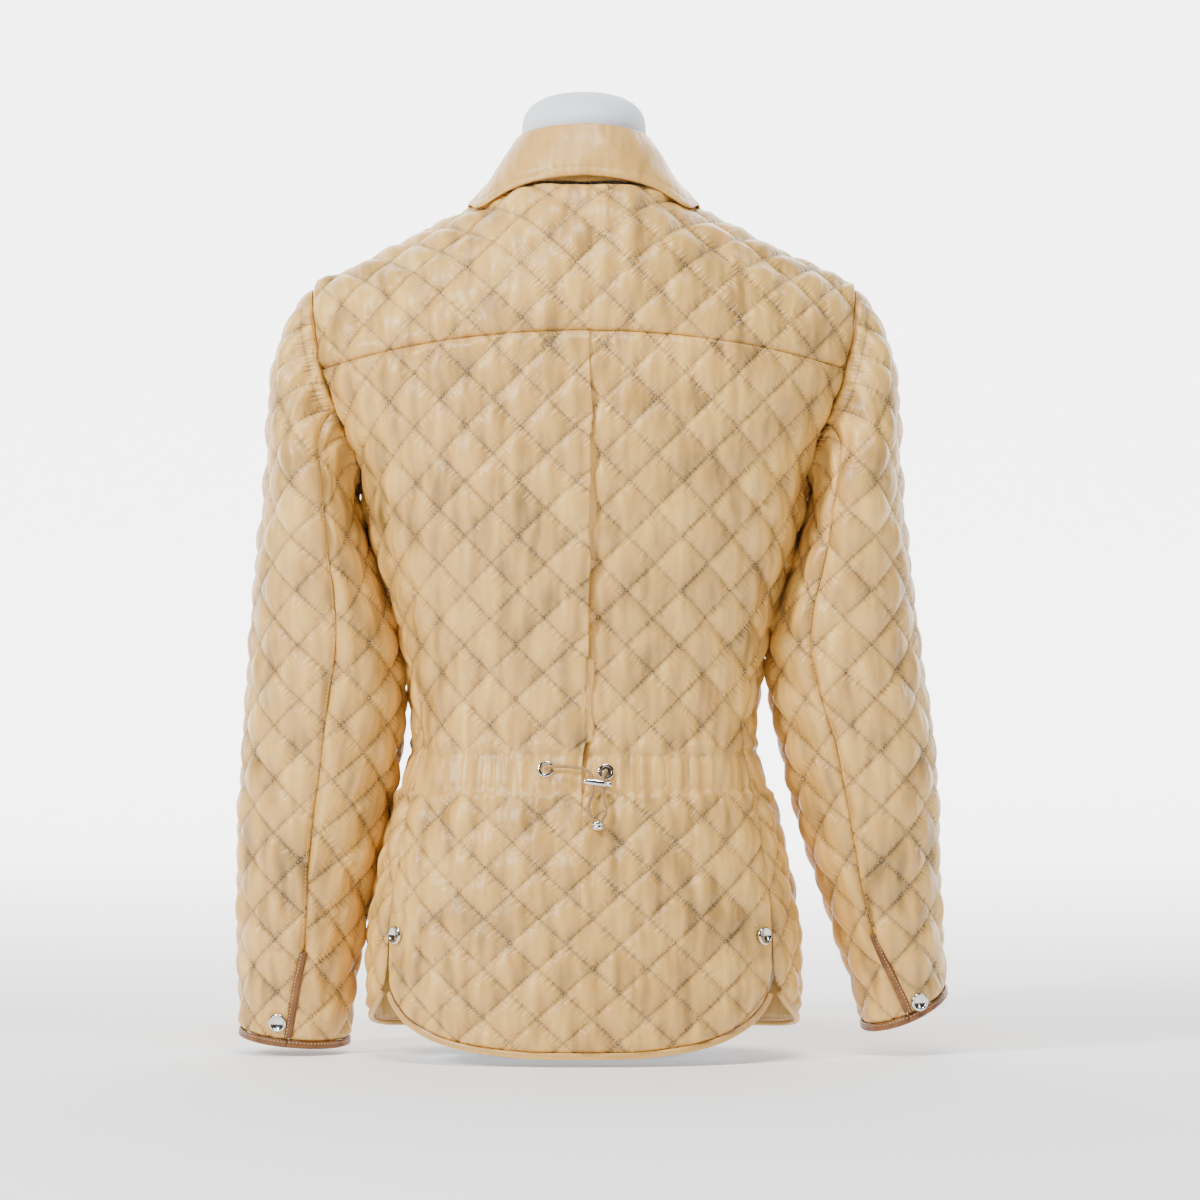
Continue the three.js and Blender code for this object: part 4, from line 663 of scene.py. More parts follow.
# From the jacket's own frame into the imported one. The form is symmetric, and its lowest point is on the
# floor.
FORM = table(
    "z wide deep",
    (0, 0.46, 0.5), (8, 0.63, 0.72), (20, 0.745, 0.85), (40, 0.85, 0.91), (70, 0.915, 0.94),
    (110, 0.93, 0.94), (228, 0.93, 0.93), (371, 0.95, 0.955), (440, 0.93, 0.96), (514, 0.89, 0.967),
    (573, 0.86, 0.967), (680, 0.86, 0.967),
)
FORM_DROP = table("x drop", (0, 62), (40, 46), (60, 27), (80, 9), (98, 3.4), (240, 3.4))["drop"]
FORM_LEVELS = (371, 410, 440, 470, 500)
form_low, form_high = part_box("dress_form")
form_back = MID_Y - max(float(FORM["deep"](z) * BODY["back"](z)) for z in FORM_LEVELS)
OFFSET = np.array([
    (form_low[0] + form_high[0]) * 500,
    form_low[1] * 1000 - form_back,
    form_low[2] * 1000,
])


def place(points):
    """Points in the jacket's own frame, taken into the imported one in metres."""
    return (np.asarray(points, float) + OFFSET) / 1000


PIECES = {}


def add_piece(name, points, faces, material, uv=None):
    mesh = bpy.data.meshes.new(name)
    mesh.from_pydata(place(points).tolist(), [], [list(map(int, f)) for f in faces])
    for layer, values in (uv or {}).items():
        flat = np.asarray(values, float)
        loops = np.empty(len(mesh.loops), int)
        mesh.loops.foreach_get("vertex_index", loops)
        mesh.uv_layers.new(name=layer).data.foreach_set("uv", flat[loops].ravel())
    mesh.polygons.foreach_set("use_smooth", [True] * len(mesh.polygons))
    mesh.materials.append(material)
    mesh.update()
    piece = bpy.data.objects.new(name, mesh)
    bpy.context.collection.objects.link(piece)
    PIECES[name] = piece
    return piece


def finish_piece(piece, slot, *nodes):
    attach(piece, "root")
    if nodes:
        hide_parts(*nodes)
    return piece


def triangulate(outline, points):
    """Triangles of an outline with points inside it; the outline's own points come first."""
    n = len(outline)
    coords = [tuple(map(float, p)) for p in np.concatenate([outline, points])]
    edges = [(i, (i + 1) % n) for i in range(n)]
    found, _, faces, origins, _, _ = delaunay_2d_cdt(coords, edges, [], 1, 1e-4)
    order = {new: (olds[0] if olds else None) for new, olds in enumerate(origins)}
    triangles = [tuple(order[k] for k in face) for face in faces]
    return [t for t in triangles if None not in t]


def panel(name, cloth, outline, points, height, inside_shift, lattice, nodes):
    """A panel of quilted cloth: shaped outside, plain inside, closed along its outline."""
    n = len(outline)
    flat = np.concatenate([outline, points])
    away = edge_distance(outline, flat)
    away[:n] = 0
    outer = off_cloth(cloth, flat[:, 0], flat[:, 1], height(flat[:, 0], flat[:, 1], away))
    coarse = grid_points(outline, INSIDE_PITCH, 3.0)
    under = np.concatenate([outline, coarse])
    inner = off_cloth(cloth, under[:, 0], under[:, 1], inside_shift(under[:, 0], under[:, 1]))
    top = triangulate(outline, points)
    base = len(flat)
    faces = list(top)
    faces += [(a + base, c + base, b + base) for a, b, c in triangulate(outline, coarse)]
    for k in range(n):
        m = (k + 1) % n
        faces += [(k, base + k, base + m), (k, base + m, m)]
    if cloth.flip:
        faces = [f[::-1] for f in faces]
    a, b = lattice(*np.concatenate([flat, under]).T)
    sewn = np.concatenate([height.plain(*flat.T), np.zeros(len(under))])
    piece = add_piece(
        name, np.concatenate([outer, inner]), faces, MATERIALS["quilt"],
        uv={
            "cloth": np.concatenate([flat, under]) / UV_UNIT, "quilt": np.stack([a, b], -1),
            "sewn": np.stack([sewn, sewn], -1),
        },
    )
    finish_piece(piece, "shell_cloth", *nodes)
    area = abs(signed_area(outline)) / 1e6


# Rows of stitches
STITCH = {"pitch": 2.9, "half": 1.05, "wide": 0.34, "tall": 0.55, "sink": 0.05, "margin": 1.6}
ROW_REACH = 36              # diamonds each way along a row


def stitch_mesh(name, cloth, middles, turns, height, material, slot):
    """Short threads, each with four sides and two pointed ends, lying along the cloth."""
    if not len(middles):
        return None
    u, v = middles.T
    ahead = np.stack([np.cos(turns), np.sin(turns)], -1) * STITCH["half"]
    lift = height(u, v)
    n = normal_at(cloth, u, v)
    middle = cloth.point(u, v) + n * lift[:, None]
    ends = []
    for sign in (-1, 1):
        eu, ev = u + sign * ahead[:, 0], v + sign * ahead[:, 1]
        ends.append(cloth.point(eu, ev) + n * (height(eu, ev) - STITCH["sink"])[:, None])
    along = ends[1] - ends[0]
    along /= np.linalg.norm(along, axis=1)[:, None]
    side = np.cross(n, along) * STITCH["wide"]
    ring = [middle + side, middle + n * STITCH["tall"], middle - side, middle - n * 0.1]
    points = np.stack([ends[0], *ring, ends[1]], 1).reshape(-1, 3)
    shape = [(0, 2, 1), (0, 3, 2), (0, 4, 3), (0, 1, 4), (5, 1, 2), (5, 2, 3), (5, 3, 4), (5, 4, 1)]
    faces = (np.array(shape)[None] + (np.arange(len(u)) * 6)[:, None, None]).reshape(-1, 3)
    piece = add_piece(name, points, faces, material)
    return finish_piece(piece, slot)


def quilt_stitches(outline, cloth_of, keep=None, **low):
    """Middles and directions of the stitches along both diagonals of the quilting."""
    middles, turns = [], []
    along = np.arange(-ROW_REACH, ROW_REACH, STITCH["pitch"] / (STEP * math.sqrt(2)))
    for k in range(-LATTICE_REACH, LATTICE_REACH + 1):
        for swap in (False, True):
            fixed = np.full_like(along, k)
            a, b = (along, fixed) if swap else (fixed, along)
            u, v = cloth_of(a, b, **low)
            d = math.atan2(v[1] - v[0], u[1] - u[0])
            middles.append(np.stack([u, v], -1))
            turns.append(np.full(len(u), d))
    middles, turns = np.concatenate(middles), np.concatenate(turns)
    hit = inside(outline, middles)
    middles, turns = middles[hit], turns[hit]
    hit = edge_distance(outline, middles) > STITCH["margin"]
    if keep is not None:
        hit &= keep(*middles.T)
    return middles[hit], turns[hit]


def path_stitches(path, pitch=None):
    """Middles and directions of the stitches along a path in cloth coordinates."""
    path = np.asarray(path, float)
    length = run_along(path)
    at = np.arange(1.2, length[-1] - 1, pitch or STITCH["pitch"])
    middles = np.stack([np.interp(at, length, path[:, k]) for k in (0, 1)], -1)
    ahead = np.stack([np.interp(at + 0.5, length, path[:, k]) for k in (0, 1)], -1) - middles
    return middles, np.arctan2(ahead[:, 1], ahead[:, 0])


def all_stitches(*rows):
    return np.concatenate([r[0] for r in rows]), np.concatenate([r[1] for r in rows])


# Materials
class Look:
    """A node material under construction."""

    def __init__(self, name, **sockets):
        self.material = bpy.data.materials.new(name)
        self.material.use_nodes = True
        self.nodes = self.material.node_tree.nodes
        self.links = self.material.node_tree.links
        self.shader = self.nodes["Principled BSDF"]
        for socket, value in sockets.items():
            self.shader.inputs[socket.replace("_", " ")].default_value = value

    def node(self, kind, inputs=(), **settings):
        made = self.nodes.new(kind)
        for key, value in settings.items():
            setattr(made, key, value)
        for key, value in dict(inputs).items():
            if isinstance(value, bpy.types.NodeSocket):
                self.links.new(value, made.inputs[key])
            else:
                made.inputs[key].default_value = value
        return made

    def math(self, operation, *values):
        return self.node("ShaderNodeMath", enumerate(values), operation=operation).outputs[0]

    def total(self, *values):
        out = values[0]
        for value in values[1:]:
            out = self.math("ADD", out, value)
        return out

    def uv(self, layer):
        return self.node("ShaderNodeUVMap", uv_map=layer).outputs[0]

    def place_at(self):
        return self.node("ShaderNodeTexCoord").outputs["Object"]

    def stretched(self, vector, scale, detail=2.0):
        """Noise in a space that is scaled differently each way, about 0."""
        mapped = self.node("ShaderNodeMapping", {"Vector": vector, "Scale": scale})
        noise = self.node(
            "ShaderNodeTexNoise", {"Vector": mapped.outputs[0], "Scale": 1.0, "Detail": detail}
        )
        return self.math("SUBTRACT", noise.outputs[0], 0.5)

    def bump(self, height, distance, strength=1.0):
        made = self.node("ShaderNodeBump", {"Height": height, "Distance": distance, "Strength": strength})
        self.links.new(made.outputs[0], self.shader.inputs["Normal"])

    def colour(self, factor, *stops):
        ramp = self.node("ShaderNodeValToRGB", {"Fac": factor})
        elements = ramp.color_ramp.elements
        while len(elements) < len(stops):
            elements.new(0.5)
        for element, (at, shade) in zip(elements, stops):
            element.position = at
            element.color = (*shade, 1)
        self.links.new(ramp.outputs[0], self.shader.inputs["Base Color"])


SATIN = (0.66, 0.375, 0.092)
THREAD = (0.80, 0.58, 0.30)


# How strongly each mark shows on the quilting and on plain cloth, in tone and in height; the streaks' tone is
# a painted sheen
MARKS = {
    True: {"painted_sheen_tone": 1.05, "streak_height": 1.3},
    False: {"painted_sheen_tone": 0.4, "streak_height": 0.5},
}
# Along the stitches: puckers in height, a painted shade in the crease, and a painted sheen that differs from
# diamond to diamond
SEWN_MARKS = {"pucker": 1.5, "painted_crease_shade": -0.35, "painted_diamond_sheen": 0.2}
BUMP_DEPTH = 0.0024


def satin(name, quilted):
    """A smooth dense cloth with soft upright streaks, bumped and painted as sheen, with puckers and painted
    shade along its stitches, and a painted sheen that differs by diamond.
    """
    look = Look(name, Roughness=0.4, Specular_IOR_Level=0.6)
    cloth = look.uv("cloth")
    shade = look.math("MULTIPLY", look.stretched(cloth, (1.6, 1.1, 1), 3), 0.5)
    # Upright streaks: bumps in height, and in the colour a painted sheen
    streaks = look.stretched(cloth, (9.5, 2.4, 1), 1.2)
    tones = [shade, look.math("MULTIPLY", streaks, MARKS[quilted]["painted_sheen_tone"])]
    heights = [
        look.math("MULTIPLY", streaks, MARKS[quilted]["streak_height"]),
        look.math("MULTIPLY", look.stretched(cloth, (260, 260, 1), 1), 0.02),
    ]
    if quilted:
        quilt = look.node("ShaderNodeSeparateXYZ", {"Vector": look.uv("quilt")})
        sewn = look.node("ShaderNodeSeparateXYZ", {"Vector": look.uv("sewn")}).outputs[0]
        for k, scale in ((0, (1.6, 10, 1)), (1, (10, 1.6, 1))):
            near = look.math("PINGPONG", quilt.outputs[k], 0.5)
            away = look.math("SUBTRACT", 1.0, look.math("MULTIPLY", near, 2.0))
            puckers = look.stretched(look.uv("quilt"), scale, 1.5)
            weight = look.math("MULTIPLY", look.math("POWER", away, 2.6), sewn)
            puckers = look.math("MULTIPLY", puckers, weight)
            heights.append(look.math("MULTIPLY", puckers, SEWN_MARKS["pucker"]))
            # Painted shade: the colour darkens towards each line of stitches, where the crease falls into
            # shade
            painted_crease_shade = look.math("MULTIPLY", look.math("POWER", away, 15.0), sewn)
            tones.append(look.math("MULTIPLY", painted_crease_shade, SEWN_MARKS["painted_crease_shade"]))
        # Painted sheen: each diamond gets its own random brightness, for how its facets catch the light
        cell = look.node("ShaderNodeVectorMath", {0: look.uv("quilt")}, operation="FLOOR")
        own = look.node("ShaderNodeTexWhiteNoise", {"Vector": cell.outputs[0]}).outputs[0]
        own = look.math("MULTIPLY", look.math("SUBTRACT", own, 0.5), sewn)
        tones.append(look.math("MULTIPLY", own, SEWN_MARKS["painted_diamond_sheen"]))
    # The ramp's darker end takes the painted shade along the stitches and its lighter end the painted sheen
    look.colour(
        look.math("ADD", look.total(*tones), 0.5),
        (0.0, tuple(0.22 * c for c in SATIN)), (0.46, SATIN), (1.0, tuple(min(1, 1.7 * c) for c in SATIN)),
    )
    look.bump(look.total(*heights), BUMP_DEPTH)
    return look.material


def thread(name):
    look = Look(name, Roughness=0.45, Sheen_Weight=0.3)
    place_at = look.place_at()
    shade = look.stretched(place_at, (90, 90, 90))
    look.colour(
        look.math("ADD", shade, 0.5), (0.3, tuple(0.9 * c for c in THREAD)), (0.7, THREAD)
    )
    look.bump(look.stretched(place_at, (2500, 2500, 2500)), 0.0002, 0.6)
    return look.material


def leather(name):
    look = Look(name, Roughness=0.5, Specular_IOR_Level=0.45, Coat_Weight=0.08, Coat_Roughness=0.35)
    place_at = look.place_at()
    shade = look.stretched(place_at, (110, 110, 110), 4)
    look.colour(
        look.math("ADD", look.math("MULTIPLY", shade, 1.2), 0.5),
        (0.2, (0.10, 0.036, 0.008)), (0.55, (0.20, 0.077, 0.017)), (0.85, (0.29, 0.125, 0.034)),
    )
    cells = look.node(
        "ShaderNodeTexVoronoi", {"Vector": place_at, "Scale": 900.0}, feature="DISTANCE_TO_EDGE"
    )
    grain = look.math("MINIMUM", cells.outputs[0], 0.25)
    look.bump(look.total(grain, look.stretched(place_at, (300, 300, 300))), 0.0006, 0.5)
    return look.material


def metal(name, shade, rough):
    look = Look(name, Metallic=1.0, Roughness=rough)
    place_at = look.place_at()
    wear = look.stretched(place_at, (260, 260, 260), 4)
    look.colour(
        look.math("ADD", wear, 0.5), (0.3, tuple(0.8 * c for c in shade)), (0.7, shade)
    )
    look.bump(look.stretched(place_at, (900, 900, 900)), 0.0001, 0.3)
    return look.material


def braid(name):
    look = Look(name, Roughness=0.6, Sheen_Weight=0.3)
    place_at = look.place_at()
    shade = look.stretched(place_at, (800, 800, 800))
    look.colour(
        look.math("ADD", shade, 0.5), (0.3, (0.22, 0.115, 0.03)), (0.7, (0.46, 0.27, 0.085))
    )
    waves = [
        look.node(
            "ShaderNodeTexWave", {"Vector": place_at, "Scale": 190.0, "Distortion": 0.6},
            bands_direction="DIAGONAL",
        ).outputs[1],
        look.node(
            "ShaderNodeTexWave", {"Vector": place_at, "Scale": 260.0, "Distortion": 0.6},
            bands_direction="Z",
        ).outputs[1],
    ]
    look.bump(look.math("MINIMUM", *waves), 0.0004, 0.8)
    return look.material


def jersey(name):
    look = Look(name, Roughness=0.85, Sheen_Weight=0.2)
    place_at = look.place_at()
    shade = look.stretched(place_at, (14, 14, 14), 4)
    look.colour(
        look.math("ADD", shade, 0.5), (0.3, (0.74, 0.78, 0.86)), (0.7, (0.83, 0.86, 0.93))
    )
    look.bump(look.stretched(place_at, (1600, 1600, 700)), 0.0004, 0.5)
    return look.material


MATERIALS = {
    "quilt": satin("satin_quilted", True),
    "plain": satin("satin_plain", False),
    "thread": thread("sewing_thread"),
    "leather": leather("tan_leather"),
    "nickel": metal("nickel", (0.72, 0.70, 0.66), 0.16),
    # A darker copy of the nickel: a painted shade for the snaps' dished middles and the eyelets' holes
    "painted_shade_nickel": metal("nickel_painted_shade", (0.26, 0.24, 0.20), 0.3),
    "cord": braid("braided_cord"),
    "jersey": jersey("form_jersey"),
}


# Every diamond differs a little: its height, where its crown lies, and a soft upright ridge
CELLS = {
    name: rng.uniform(low, high, (128, 128))
    for name, low, high in (
        ("tall", 0.8, 1.12), ("lean_a", -0.5, 0.5), ("lean_b", -0.5, 0.5), ("ridge", -0.5, 1.0),
        ("spot", -0.35, 0.35), ("tilt", -0.35, 0.35), ("width", 1.8, 3.4),
    )
}


def diamonds(a, b):
    """Height over the cloth of each diamond's puff, in mm, with its own wrinkles."""
    ia, ib = np.floor(a).astype(int), np.floor(b).astype(int)
    own = {name: values[ia % 128, ib % 128] for name, values in CELLS.items()}
    fa, fb = a - ia - 0.5, b - ib - 0.5
    rise = pillow(a, b)
    crown = own["tall"] + 0.9 * (own["lean_a"] * fa + own["lean_b"] * fb)
    across, up = fa + fb, fa - fb
    off = (across - own["spot"] - own["tilt"] * up) * STEP / own["width"]
    ridge = np.maximum(own["ridge"], -0.2) * np.exp(-(off**2)) * rise
    return PUFF * rise * crown + 1.1 * ridge


def rim(away, reach=1.5):
    """The cloth's own thickness, turned down into the seam."""
    return WALL * (0.35 + 0.65 * (1 - np.exp(-away / reach)))


FOLDS = {"drape": 0.5, "ripple": 0.3, "from_seam": 5.5}
DRAPE = Noise(15, 42)
RIPPLE = Noise(8, 24)
GATHER = Noise(26, 60)


def waist_plain(v):
    """1 where the panels are quilted, 0 in the waist channel."""
    low = smooth(CHANNEL["low"] - 6, CHANNEL["low"] - 1, v)
    return 1 - low * (1 - smooth(CHANNEL["high"] + 1, CHANNEL["high"] + 6, v))


def waist_sink(v):
    """How far the drawcord draws the cloth in."""
    return -CHANNEL["sink"] * np.exp(-(((v - MIDDLE) / 16) ** 2))


def waist_shape(u, v, pressed=()):
    """The drawn-in channel, its two rows of stitches and the gathers that run out of it."""
    flat = calm(pressed, u, v, 14)
    puffed = CHANNEL["puff"] * smooth(CHANNEL["low"], CHANNEL["low"] + 7, v) * (
        1 - smooth(CHANNEL["high"] - 7, CHANNEL["high"], v)
    )
    rows = sum(np.exp(-(((v - at) / 1.8) ** 2)) for at in (CHANNEL["low"], CHANNEL["high"]))
    waves = CHANNEL["gather"] * np.sin(2 * np.pi * (u / CHANNEL["pitch"] + 0.9 * GATHER(u, v * 0.2)))
    reach = np.exp(-np.maximum(np.abs(v - MIDDLE) - 12, 0) / 17)
    return waist_sink(v) + flat * (puffed - CHANNEL["row"] * rows + 0.8 * waves * reach)


# How far the body and the under sleeves stand out towards each other
FILL = {"body": 3.0, "sleeve": 2.4}


def side_fill(u, v):
    """The body's cloth stands out under the arms, where it meets the sleeves."""
    return FILL["body"] * smooth(95, 150, np.abs(u)) * smooth(235, 290, v) * (1 - smooth(405, 440, v))


def pleat_shift(u, v):
    """The centre-back pleat: its left side lies over its right."""
    held = smooth(PLEAT["bottom"] - 60, PLEAT["bottom"] + 10, v)
    held = held * (1 - 0.8 * smooth(PLEAT["top"] - 90, PLEAT["top"], v))
    fall = np.maximum(0, 1 - np.abs(u) / PLEAT["spread"])
    low = 1 + PLEAT["deeper"] * (1 - smooth(300, 470, v))
    return np.where(u < 0, PLEAT["lift"], -PLEAT["sink"] * low) * held * fall * fall


def calm(places, u, v, reach=24):
    """0 at the places, rising to 1 at their reach."""
    out = np.ones_like(u)
    for pu, pv in places:
        out = np.minimum(out, smooth(reach - 10, reach, np.hypot(u - pu, v - pv)))
    return out


def quilted_height(lattice, plain, extra):
    """A panel's outside: the wall, its quilting where it isn't plain, and its own folds."""

    def height(u, v, away):
        a, b = lattice(u, v)
        free = smooth(0, FOLDS["from_seam"], away)
        puff = diamonds(a, b) * plain(u, v) * free
        drape = (FOLDS["drape"] * DRAPE(u, v) + FOLDS["ripple"] * RIPPLE(u, v)) * free
        return rim(away) + puff + drape + extra(u, v)

    height.plain = plain
    return height


# Body panels
BACK = BodyCloth()
FRONTS = {1: BodyCloth(True, 1), -1: BodyCloth(True, -1)}
VENT_SNAPS = [
    (float(sign * (side_line(np.array(VENT_SNAP["z"]), sign) - VENT_SNAP["inside"]) - TWIST(VENT_SNAP["z"])),
     VENT_SNAP["z"])
    for sign in (1, -1)
]

GROMMET = {"radius": 6.2, "bore": 3.4, "tall": 0.93, "rise": 0.3, "lift": 0.85, "well": 0.9}


def flat_back(x, z):
    """Cloth coordinates of the place on the back that has this x and z."""
    along = float(s_of_x(np.array(abs(x)), np.array(z), False))
    return math.copysign(along, x) - float(TWIST(z)), z


EYELETS = {"left": flat_back(-27.8, 216.5), "right": flat_back(16.4, 214.5)}

BACK_CREASES = [
    (-104, 300, -128, 398, 9, 1.5), (-92, 286, -60, 352, 8, 1.2), (-120, 330, -96, 420, 7, -1.3),
    (112, 296, 132, 392, 9, 1.5), (96, 282, 66, 344, 8, 1.2), (126, 340, 104, 430, 7, -1.3),
    (-140, 395, -168, 450, 8, 1.6), (142, 400, 172, 452, 8, 1.6),
    (-30, 192, -40, 130, 7, 1.3), (-14, 190, -12, 120, 6, -1.4), (4, 192, 8, 104, 7, 1.8),
    (24, 192, 34, 128, 6, -1.2), (46, 194, 62, 138, 7, 1.2), (-62, 194, -78, 142, 7, -1.1),
    (-84, 196, -104, 150, 8, 1.2), (82, 196, 102, 148, 8, 1.1), (14, 232, 22, 300, 6, 1.2),
    (-18, 236, -22, 330, 7, 1.3), (-46, 236, -52, 300, 7, -1.0), (52, 238, 60, 306, 7, 1.0),
    (-20, 470, -60, 520, 9, 1.0), (24, 450, 70, 512, 9, 1.0), (0, 110, 10, 40, 10, 1.2),
]
YOKE_CREASES = [
    (100, 600, 178, 556, 8, 1.7), (84, 622, 160, 592, 7, -1.4), (60, 640, 140, 616, 7, 1.3),
    (120, 580, 186, 540, 8, -1.2), (-100, 600, -176, 560, 8, 1.1), (-70, 628, -146, 600, 7, -0.9),
    (-20, 640, -50, 600, 8, 0.9), (26, 640, 54, 598, 8, 0.9),
]
FRONT_CREASES = [
    (120, 290, 150, 396, 9, 1.5), (96, 280, 70, 360, 8, 1.2), (150, 392, 176, 446, 8, 1.6),
    (60, 240, 50, 320, 7, 1.0), (90, 192, 108, 130, 7, 1.2), (50, 192, 58, 120, 7, -1.1),
    (118, 480, 160, 430, 8, -1.3), (110, 560, 168, 520, 8, 1.1), (80, 600, 130, 570, 7, -1.0),
]


def both_halves(half):
    right = joined([to_cloth(BACK, line, 1) for line in half(1)])
    left = joined([to_cloth(BACK, line, -1) for line in half(-1)])
    return tidy_outline(np.concatenate([right, left[::-1]]))


PLEAT_LINES = (-6.2, -5, -3.9, -2.9, -2, -1.2, -0.6, -0.2, 0.2, 0.8, 1.6, 2.7, 4, 5.4)


def body_points(outline, gap_at=None):
    """Mesh points in line with the stitches, and an even grid along the waist channel."""
    low = lattice_points(outline, body_cloth_of, low=True)
    high = lattice_points(outline, body_cloth_of)
    band = grid_points(outline, 2.4, MESH_CLEAR, (0.2, MIDDLE))
    edge = 3
    low = low[low[:, 1] < CHANNEL["low"] - edge]
    high = high[high[:, 1] > CHANNEL["high"] + edge]
    band = band[np.abs(band[:, 1] - MIDDLE) < MIDDLE - CHANNEL["low"] + edge - 1]
    points = np.concatenate([low, band, high])
    if gap_at is None:
        return points
    points = points[np.abs(points[:, 0]) > gap_at]
    tall = np.arange(outline[:, 1].min() + 1.5, outline[:, 1].max() - 1.5, 2.6)
    lines = [np.stack([np.full_like(tall, u), tall], -1) for u in PLEAT_LINES]
    lines = np.concatenate(lines)
    lines = lines[inside(outline, lines)]
    lines = lines[edge_distance(outline, lines) > 0.7]
    return np.concatenate([points, lines])


class Overhung:
    """The back's cloth, with the pleat's upper edge drawn across the lower one."""

    def __init__(self, cloth):
        self.cloth, self.flip = cloth, cloth.flip

    def point(self, u, v):
        u, v = np.broadcast_arrays(np.asarray(u, float), np.asarray(v, float))
        held = smooth(PLEAT["bottom"] - 20, PLEAT["bottom"] + 20, v) * (
            1 - smooth(PLEAT["top"] - 60, PLEAT["top"] - 6, v)
        )
        drawn = np.where(u < 0, PLEAT["overhang"] * np.exp(np.minimum(u, 0) / PLEAT["fade"]), 0)
        held = held * (1 - PLEAT["wander"] * np.cos(v / PLEAT["wave"]))
        return self.cloth.point(u + drawn * held, v)


def build_back():
    outline = both_halves(lambda sign: [
        line_hem(False, sign), line_vent(False, sign), line_side(sign),
        line_armhole(UNDERARM, YOKE_END, False), line_yoke(),
    ])
    height = quilted_height(
        body_lattice, lambda u, v: waist_plain(v) * calm(VENT_SNAPS, u, v),
        lambda u, v: waist_shape(u, v, EYELETS.values()) + pleat_shift(u, v)
        + creased(BACK_CREASES, u, v) + side_fill(u, v),
    )
    panel(
        "back_body_cloth", Overhung(BACK), outline, body_points(outline, 6.8), height,
        lambda u, v: np.minimum(pleat_shift(u, v), 0), body_lattice, ["back_body"],
    )
    return outline, height


def build_yoke():
    outline = both_halves(lambda sign: [
        tuple(x[::-1] for x in line_yoke()), line_armhole(YOKE_END, SHOULDER_TOP, False),
        line_shoulder(False), line_neck(False),
    ])
    height = quilted_height(
        body_lattice, lambda u, v: np.ones_like(u), lambda u, v: creased(YOKE_CREASES, u, v)
    )
    panel(
        "back_yoke_cloth", BACK, outline, body_points(outline), height,
        lambda u, v: np.zeros_like(u), body_lattice, ["back_yoke"],
    )
    return outline, height


def lap(sign, u):
    """How far the right front is lifted over the left."""
    return (OVERLAP["lift"] if sign > 0 else 0) * (1 - smooth(OVERLAP["reach"] + 6, OVERLAP["fade"], u))


def build_front(name, sign):
    cloth = FRONTS[sign]
    sewn = [
        line_hem(True, sign), line_vent(True, sign), line_side(sign),
        line_armhole(UNDERARM, SHOULDER_TOP, True), line_shoulder(True), line_neck(True),
    ]
    edge = joined([to_cloth(cloth, line, sign) for line in sewn])
    tall = np.linspace(edge[-1][1], edge[0][1], 200)
    opening = np.stack([np.full_like(tall, -OVERLAP["reach"]), tall], -1)
    outline = tidy_outline(np.concatenate([edge, opening]))
    height = quilted_height(
        body_lattice,
        lambda u, v: waist_plain(v) * smooth(OVERLAP["plain"] - 8, OVERLAP["plain"], u),
        lambda u, v: waist_shape(u, v) + creased(FRONT_CREASES, u, v) + lap(sign, u) + side_fill(u, v),
    )
    panel(
        f"{name}_cloth", cloth, outline, body_points(outline), height,
        lambda u, v: lap(sign, u), body_lattice, [name],
    )
    return outline, height


def bare(height):
    """The cloth's height well inside a panel, without its distance from the edge."""
    return lambda u, v: height(u, v, np.full_like(u, 40.0))


# Rows beside the yoke's seam, the hind seams, the vents and the front edges, and their distances
ROWS = {"yoke": 1.8, "hind": 1.9, "vent": (36, 141), "front": 6}


def line_row(cloth, line, sign, inset):
    """A row of stitches beside a seam, inset towards the panel's middle."""
    path = to_cloth(cloth, line, sign)
    ahead = heading(path)
    return path + np.stack([-ahead[:, 1], ahead[:, 0]], -1) * inset


def vent_rows(sign):
    z = np.linspace(*ROWS["vent"], 30)
    s = side_line(z, sign) - VENT_STRIP
    return np.stack([sign * s - TWIST(z), z], -1)


def stitch_body(outlines):
    waist = CHANNEL["low"] - 3, CHANNEL["high"] + 3
    off_waist = {True: lambda u, v: v < waist[0], False: lambda u, v: v > waist[1]}
    for name, cloth, (outline, height) in outlines:
        rows = []
        for low, keep in off_waist.items():
            extra = {"low": True} if low else {}
            if "front" in name:
                rows.append(quilt_stitches(
                    outline, body_cloth_of, lambda u, v, k=keep: k(u, v) & (u > OVERLAP["plain"] - 4), **extra
                ))
            else:
                rows.append(quilt_stitches(outline, body_cloth_of, keep, **extra))
        if name != "back_yoke":
            wide = np.arange(outline[:, 0].min(), outline[:, 0].max(), 1.0)
            for v in (CHANNEL["low"], CHANNEL["high"]):
                row = np.stack([wide, np.full_like(wide, v)], -1)
                row = row[inside(outline, row)]
                rows.append(path_stitches(row[edge_distance(outline, row) > 2]))
        if name == "back_body":
            rows += [path_stitches(vent_rows(sign)) for sign in (1, -1)]
            for sign in (1, -1):
                rows.append(path_stitches(line_row(BACK, line_yoke(), sign, sign * ROWS["yoke"])))
        if "front" in name:
            tall = np.linspace(outline[:, 1].min() + 6, outline[:, 1].max(), 200)
            for u in (ROWS["front"] - OVERLAP["reach"], OVERLAP["plain"] - ROWS["front"]):
                row = np.stack([np.full_like(tall, u), tall], -1)
                row = row[inside(outline, row)]
                rows.append(path_stitches(row[edge_distance(outline, row) > 2]))
        middles, turns = all_stitches(*rows)
        stitch_mesh(
            f"{name}_stitches", cloth, middles, turns, bare(height), MATERIALS["thread"], "shell_cloth"
        )


body_outlines = [
    ("back_body", Overhung(BACK), build_back()),
    ("back_yoke", BACK, build_yoke()),
    ("front_right", FRONTS[1], build_front("front_right", 1)),
    ("front_left", FRONTS[-1], build_front("front_left", -1)),
]
stitch_body(body_outlines)


